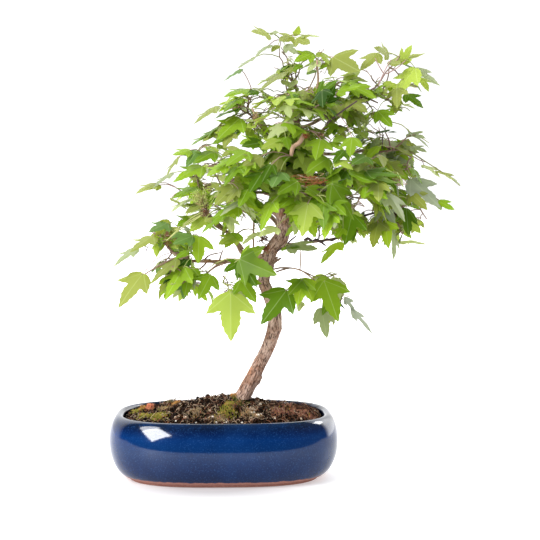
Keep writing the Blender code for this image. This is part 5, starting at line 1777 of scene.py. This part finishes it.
def fits(leaf, mass, middles):
    """True where a leaf keeps to its mass, the outline, the openings and clear of what already grows."""
    if not in_space(mass, leaf.corners):
        return False
    middle = leaf.corners.mean(axis=0)
    if len(middles) and np.linalg.norm(np.array(middles) - middle, axis=1).min() < LEAF_SPACING:
        return False
    line, radii = trunk_line[::TRUNK_STEP], trunk_radii[::TRUNK_STEP]
    to_trunk = np.linalg.norm(leaf.corners[:, None, :] - line[None, :, :], axis=2).min(axis=0)
    if (to_trunk < radii + CLEAR_OF_BARK).any():
        return False
    pixels = pixels_of(leaf.corners)
    if in_opening(pixels) or not inside_outline(pixels).all():
        return False
    near = np.linalg.norm(shown_pixels[:, None, :] - pixels[None, :, :], axis=2).min(axis=1) < shown_reach
    return not (near & (shown_middles[:, 1] > middle[1] - BEFORE_SHOWN)).any()


print("leaves keep", LEAF_SPACING / MM, "mm apart")

# %% Leaves at the crown's reach
REACH_TIPS = {  # places in mm
    "front_middle": ((60, -107, 222), (44, -104, 236), (74, -102, 214), (84, -101, 238)),
    "front_left": ((2, -98, 240), (22, -99, 256)),
    "front_right": ((122, -99, 248), (108, -98, 266)),
    "back_right": ((110, 111, 236), (96, 108, 252)),
    "back_left": ((-20, 103, 240), (0, 104, 256)),
}
REACH_LEAF = 26 * MM
REACH_DROOP = (-0.7, -0.3)
REACH_SPREAD = 0.3
REACH_TINTS = ("fresh", "mid", "olive")


def reach_leaf(mass, tip, rng):
    """A leaf that ends where the frame's mass reaches furthest forward or back."""
    tip = Vector(tip) * MM
    away = tip - Vector(mass.middle) * MM
    along = (away.normalized() + UP * rng.uniform(*REACH_DROOP)).normalized()
    base = tip - along * REACH_LEAF
    normal = UP + Vector([rng.uniform(-REACH_SPREAD, REACH_SPREAD) for _ in range(3)])
    normal = (normal - along * along.dot(normal)).normalized()
    corners = bent_leaf(0, base, along, normal, REACH_LEAF, seeded_bend(rng, FLATTER))
    tint = TINT_NAMES.index(rng.choice(REACH_TINTS))
    return Leaf(corners, 0, tint, base, along, REACH_LEAF, base - along * STALK_LOOKS, True)


leaf_rng = random.Random(71)
masses_by_name = {mass.name: mass for mass in MASSES}
grown_leaves = []
for name, tips in REACH_TIPS.items():
    grown_leaves += [reach_leaf(masses_by_name[name], tip, leaf_rng) for tip in tips]
print("leaves at the crown's reach:", len(grown_leaves))

# %% Growing the leaves
LEAF_TRIES = 5
SPRAY_TINT_SHARE = 0.6
TURNS = {  # for each kind of spray, the turn from its heading and how far back each leaf sits, in mm
    0: ((100, 0), (-100, 0)),
    1: ((0, 0), (72, 2), (-72, 2), (122, 10), (-122, 10)),
    2: ((0, 0), (76, 2), (-76, 2), (115, 8), (-115, 8)),
}
FULLNESS = {  # the share of its leaves that a mass bears, where that isn't all of them
    "left_hanging": 0.42, "middle_hanging": 0.42, "right_hanging": 0.5, "apex": 0.55, "upper_left": 0.55,
    "upper_right": 0.66, "left_low": 0.62, "left_middle": 0.7, "right_middle": 0.75, "right_low": 0.7,
}
middles = [tuple(leaf.corners.mean(axis=0)) for leaf in shown_leaves + grown_leaves]
bearing = set()
for spray in all_sprays:
    tint = spray_tint(spray.tip, leaf_rng)
    for turn, back in TURNS[spray.order]:
        if leaf_rng.random() > FULLNESS.get(spray.mass.name, 1.0):
            continue
        own_tint = tint if leaf_rng.random() < SPRAY_TINT_SHARE else spray_tint(spray.tip, leaf_rng)
        for _ in range(LEAF_TRIES):
            leaf = seeded_leaf(spray, turn, back, leaf_rng, own_tint)
            if fits(leaf, spray.mass, middles):
                grown_leaves.append(leaf)
                bearing.add(tuple(spray.tip))
                middles.append(tuple(leaf.corners.mean(axis=0)))
                break
print("leaves by rule:", len(grown_leaves))

# %% Leaf blades
blade_work = bmesh.new()
for leaf in shown_leaves + grown_leaves:
    mesh, _, ribs, _ = LEAF_KINDS[leaf.kind]
    stamp(blade_work, mesh, leaf.corners, np.where(ribs, leaf.tint * 2 + 1, leaf.tint * 2))
mass_names = [mass.name for mass in MASSES]
new_piece("leaves", blade_work, leaf_finishes, mass_names)

# %% [markdown]
# ### Twigs and stalks as tubes
# A shoot that bears no leaf is dropped, as a grower prunes it, and the others become thin tubes that swell
# a little at each node. A leaf's stalk runs from its twig into the leaf's base. Curves with a bevel would
# give the same tubes, but thousands of them are slow.

# %% Twigs as tubes
TWIG_SIDES, TWIG_RINGS = 5, 8
NODE_SWELL = 0.16
THICK_TWIG = 0.7  # mm: thicker ones are always of the first colour
TWIG_COLOURS = ((0.25, 0.16, 0.12), (0.38, 0.25, 0.18), (0.29, 0.29, 0.11), (0.10, 0.065, 0.065),
                (0.42, 0.44, 0.16), (0.40, 0.26, 0.25), (0.50, 0.32, 0.22))
twig_template = tube_template(TWIG_SIDES, TWIG_RINGS)
twig_work = bmesh.new()
twig_rng = random.Random(51)
twig_points = []
for twig in all_twigs:
    if twig.carries is not None and not bearing.intersection(twig.carries):
        continue
    radii = np.linspace(*twig.radii, TWIG_RINGS + 1) * MM
    radii = radii * (1 + NODE_SWELL * (np.arange(TWIG_RINGS + 1) % 4 == 2))
    tint = twig.tint
    if tint is None:
        tint = 0 if twig.radii[0] > THICK_TWIG else twig_rng.choice((0, 1, 2))
    twig_points += list(add_tube(twig_work, twig_template, twig.points, radii, tint)[2:])
new_piece("twigs", twig_work, plain_finishes("twig", TWIG_COLOURS, 0.7))

# %% Leaf stalks
STALK_RADII = (0.42 * MM, 0.32 * MM)
STALK_SIDES, STALK_RINGS = 4, 5
STALK_BOW = 0.14
STALK_SINK = 1.2 * MM
STALK_COLOURS = ((0.38, 0.42, 0.14), (0.40, 0.25, 0.22), (0.28, 0.33, 0.10))
STALK_ODDS = (4, 3, 3)
finder = KDTree(len(twig_points))
for number, point in enumerate(twig_points):
    finder.insert(point, number)
finder.balance()
stalk_template = tube_template(STALK_SIDES, STALK_RINGS)
stalk_work = bmesh.new()
stalk_rng = random.Random(81)
for leaf in shown_leaves + grown_leaves:
    root = finder.find(leaf.root)[0] if leaf.loose else leaf.root
    gap = leaf.base - root
    bow = UP * gap.length * STALK_BOW
    inside = leaf.base + leaf.along * STALK_SINK
    points = [root, root.lerp(leaf.base, 0.5) + bow, leaf.base, inside]
    radii = np.linspace(*STALK_RADII, STALK_RINGS + 1)
    tint = stalk_rng.choices(range(len(STALK_COLOURS)), STALK_ODDS)[0]
    add_tube(stalk_work, stalk_template, points, radii, tint)
new_piece("leaf_stalks", stalk_work, plain_finishes("stalk", STALK_COLOURS, 0.6))
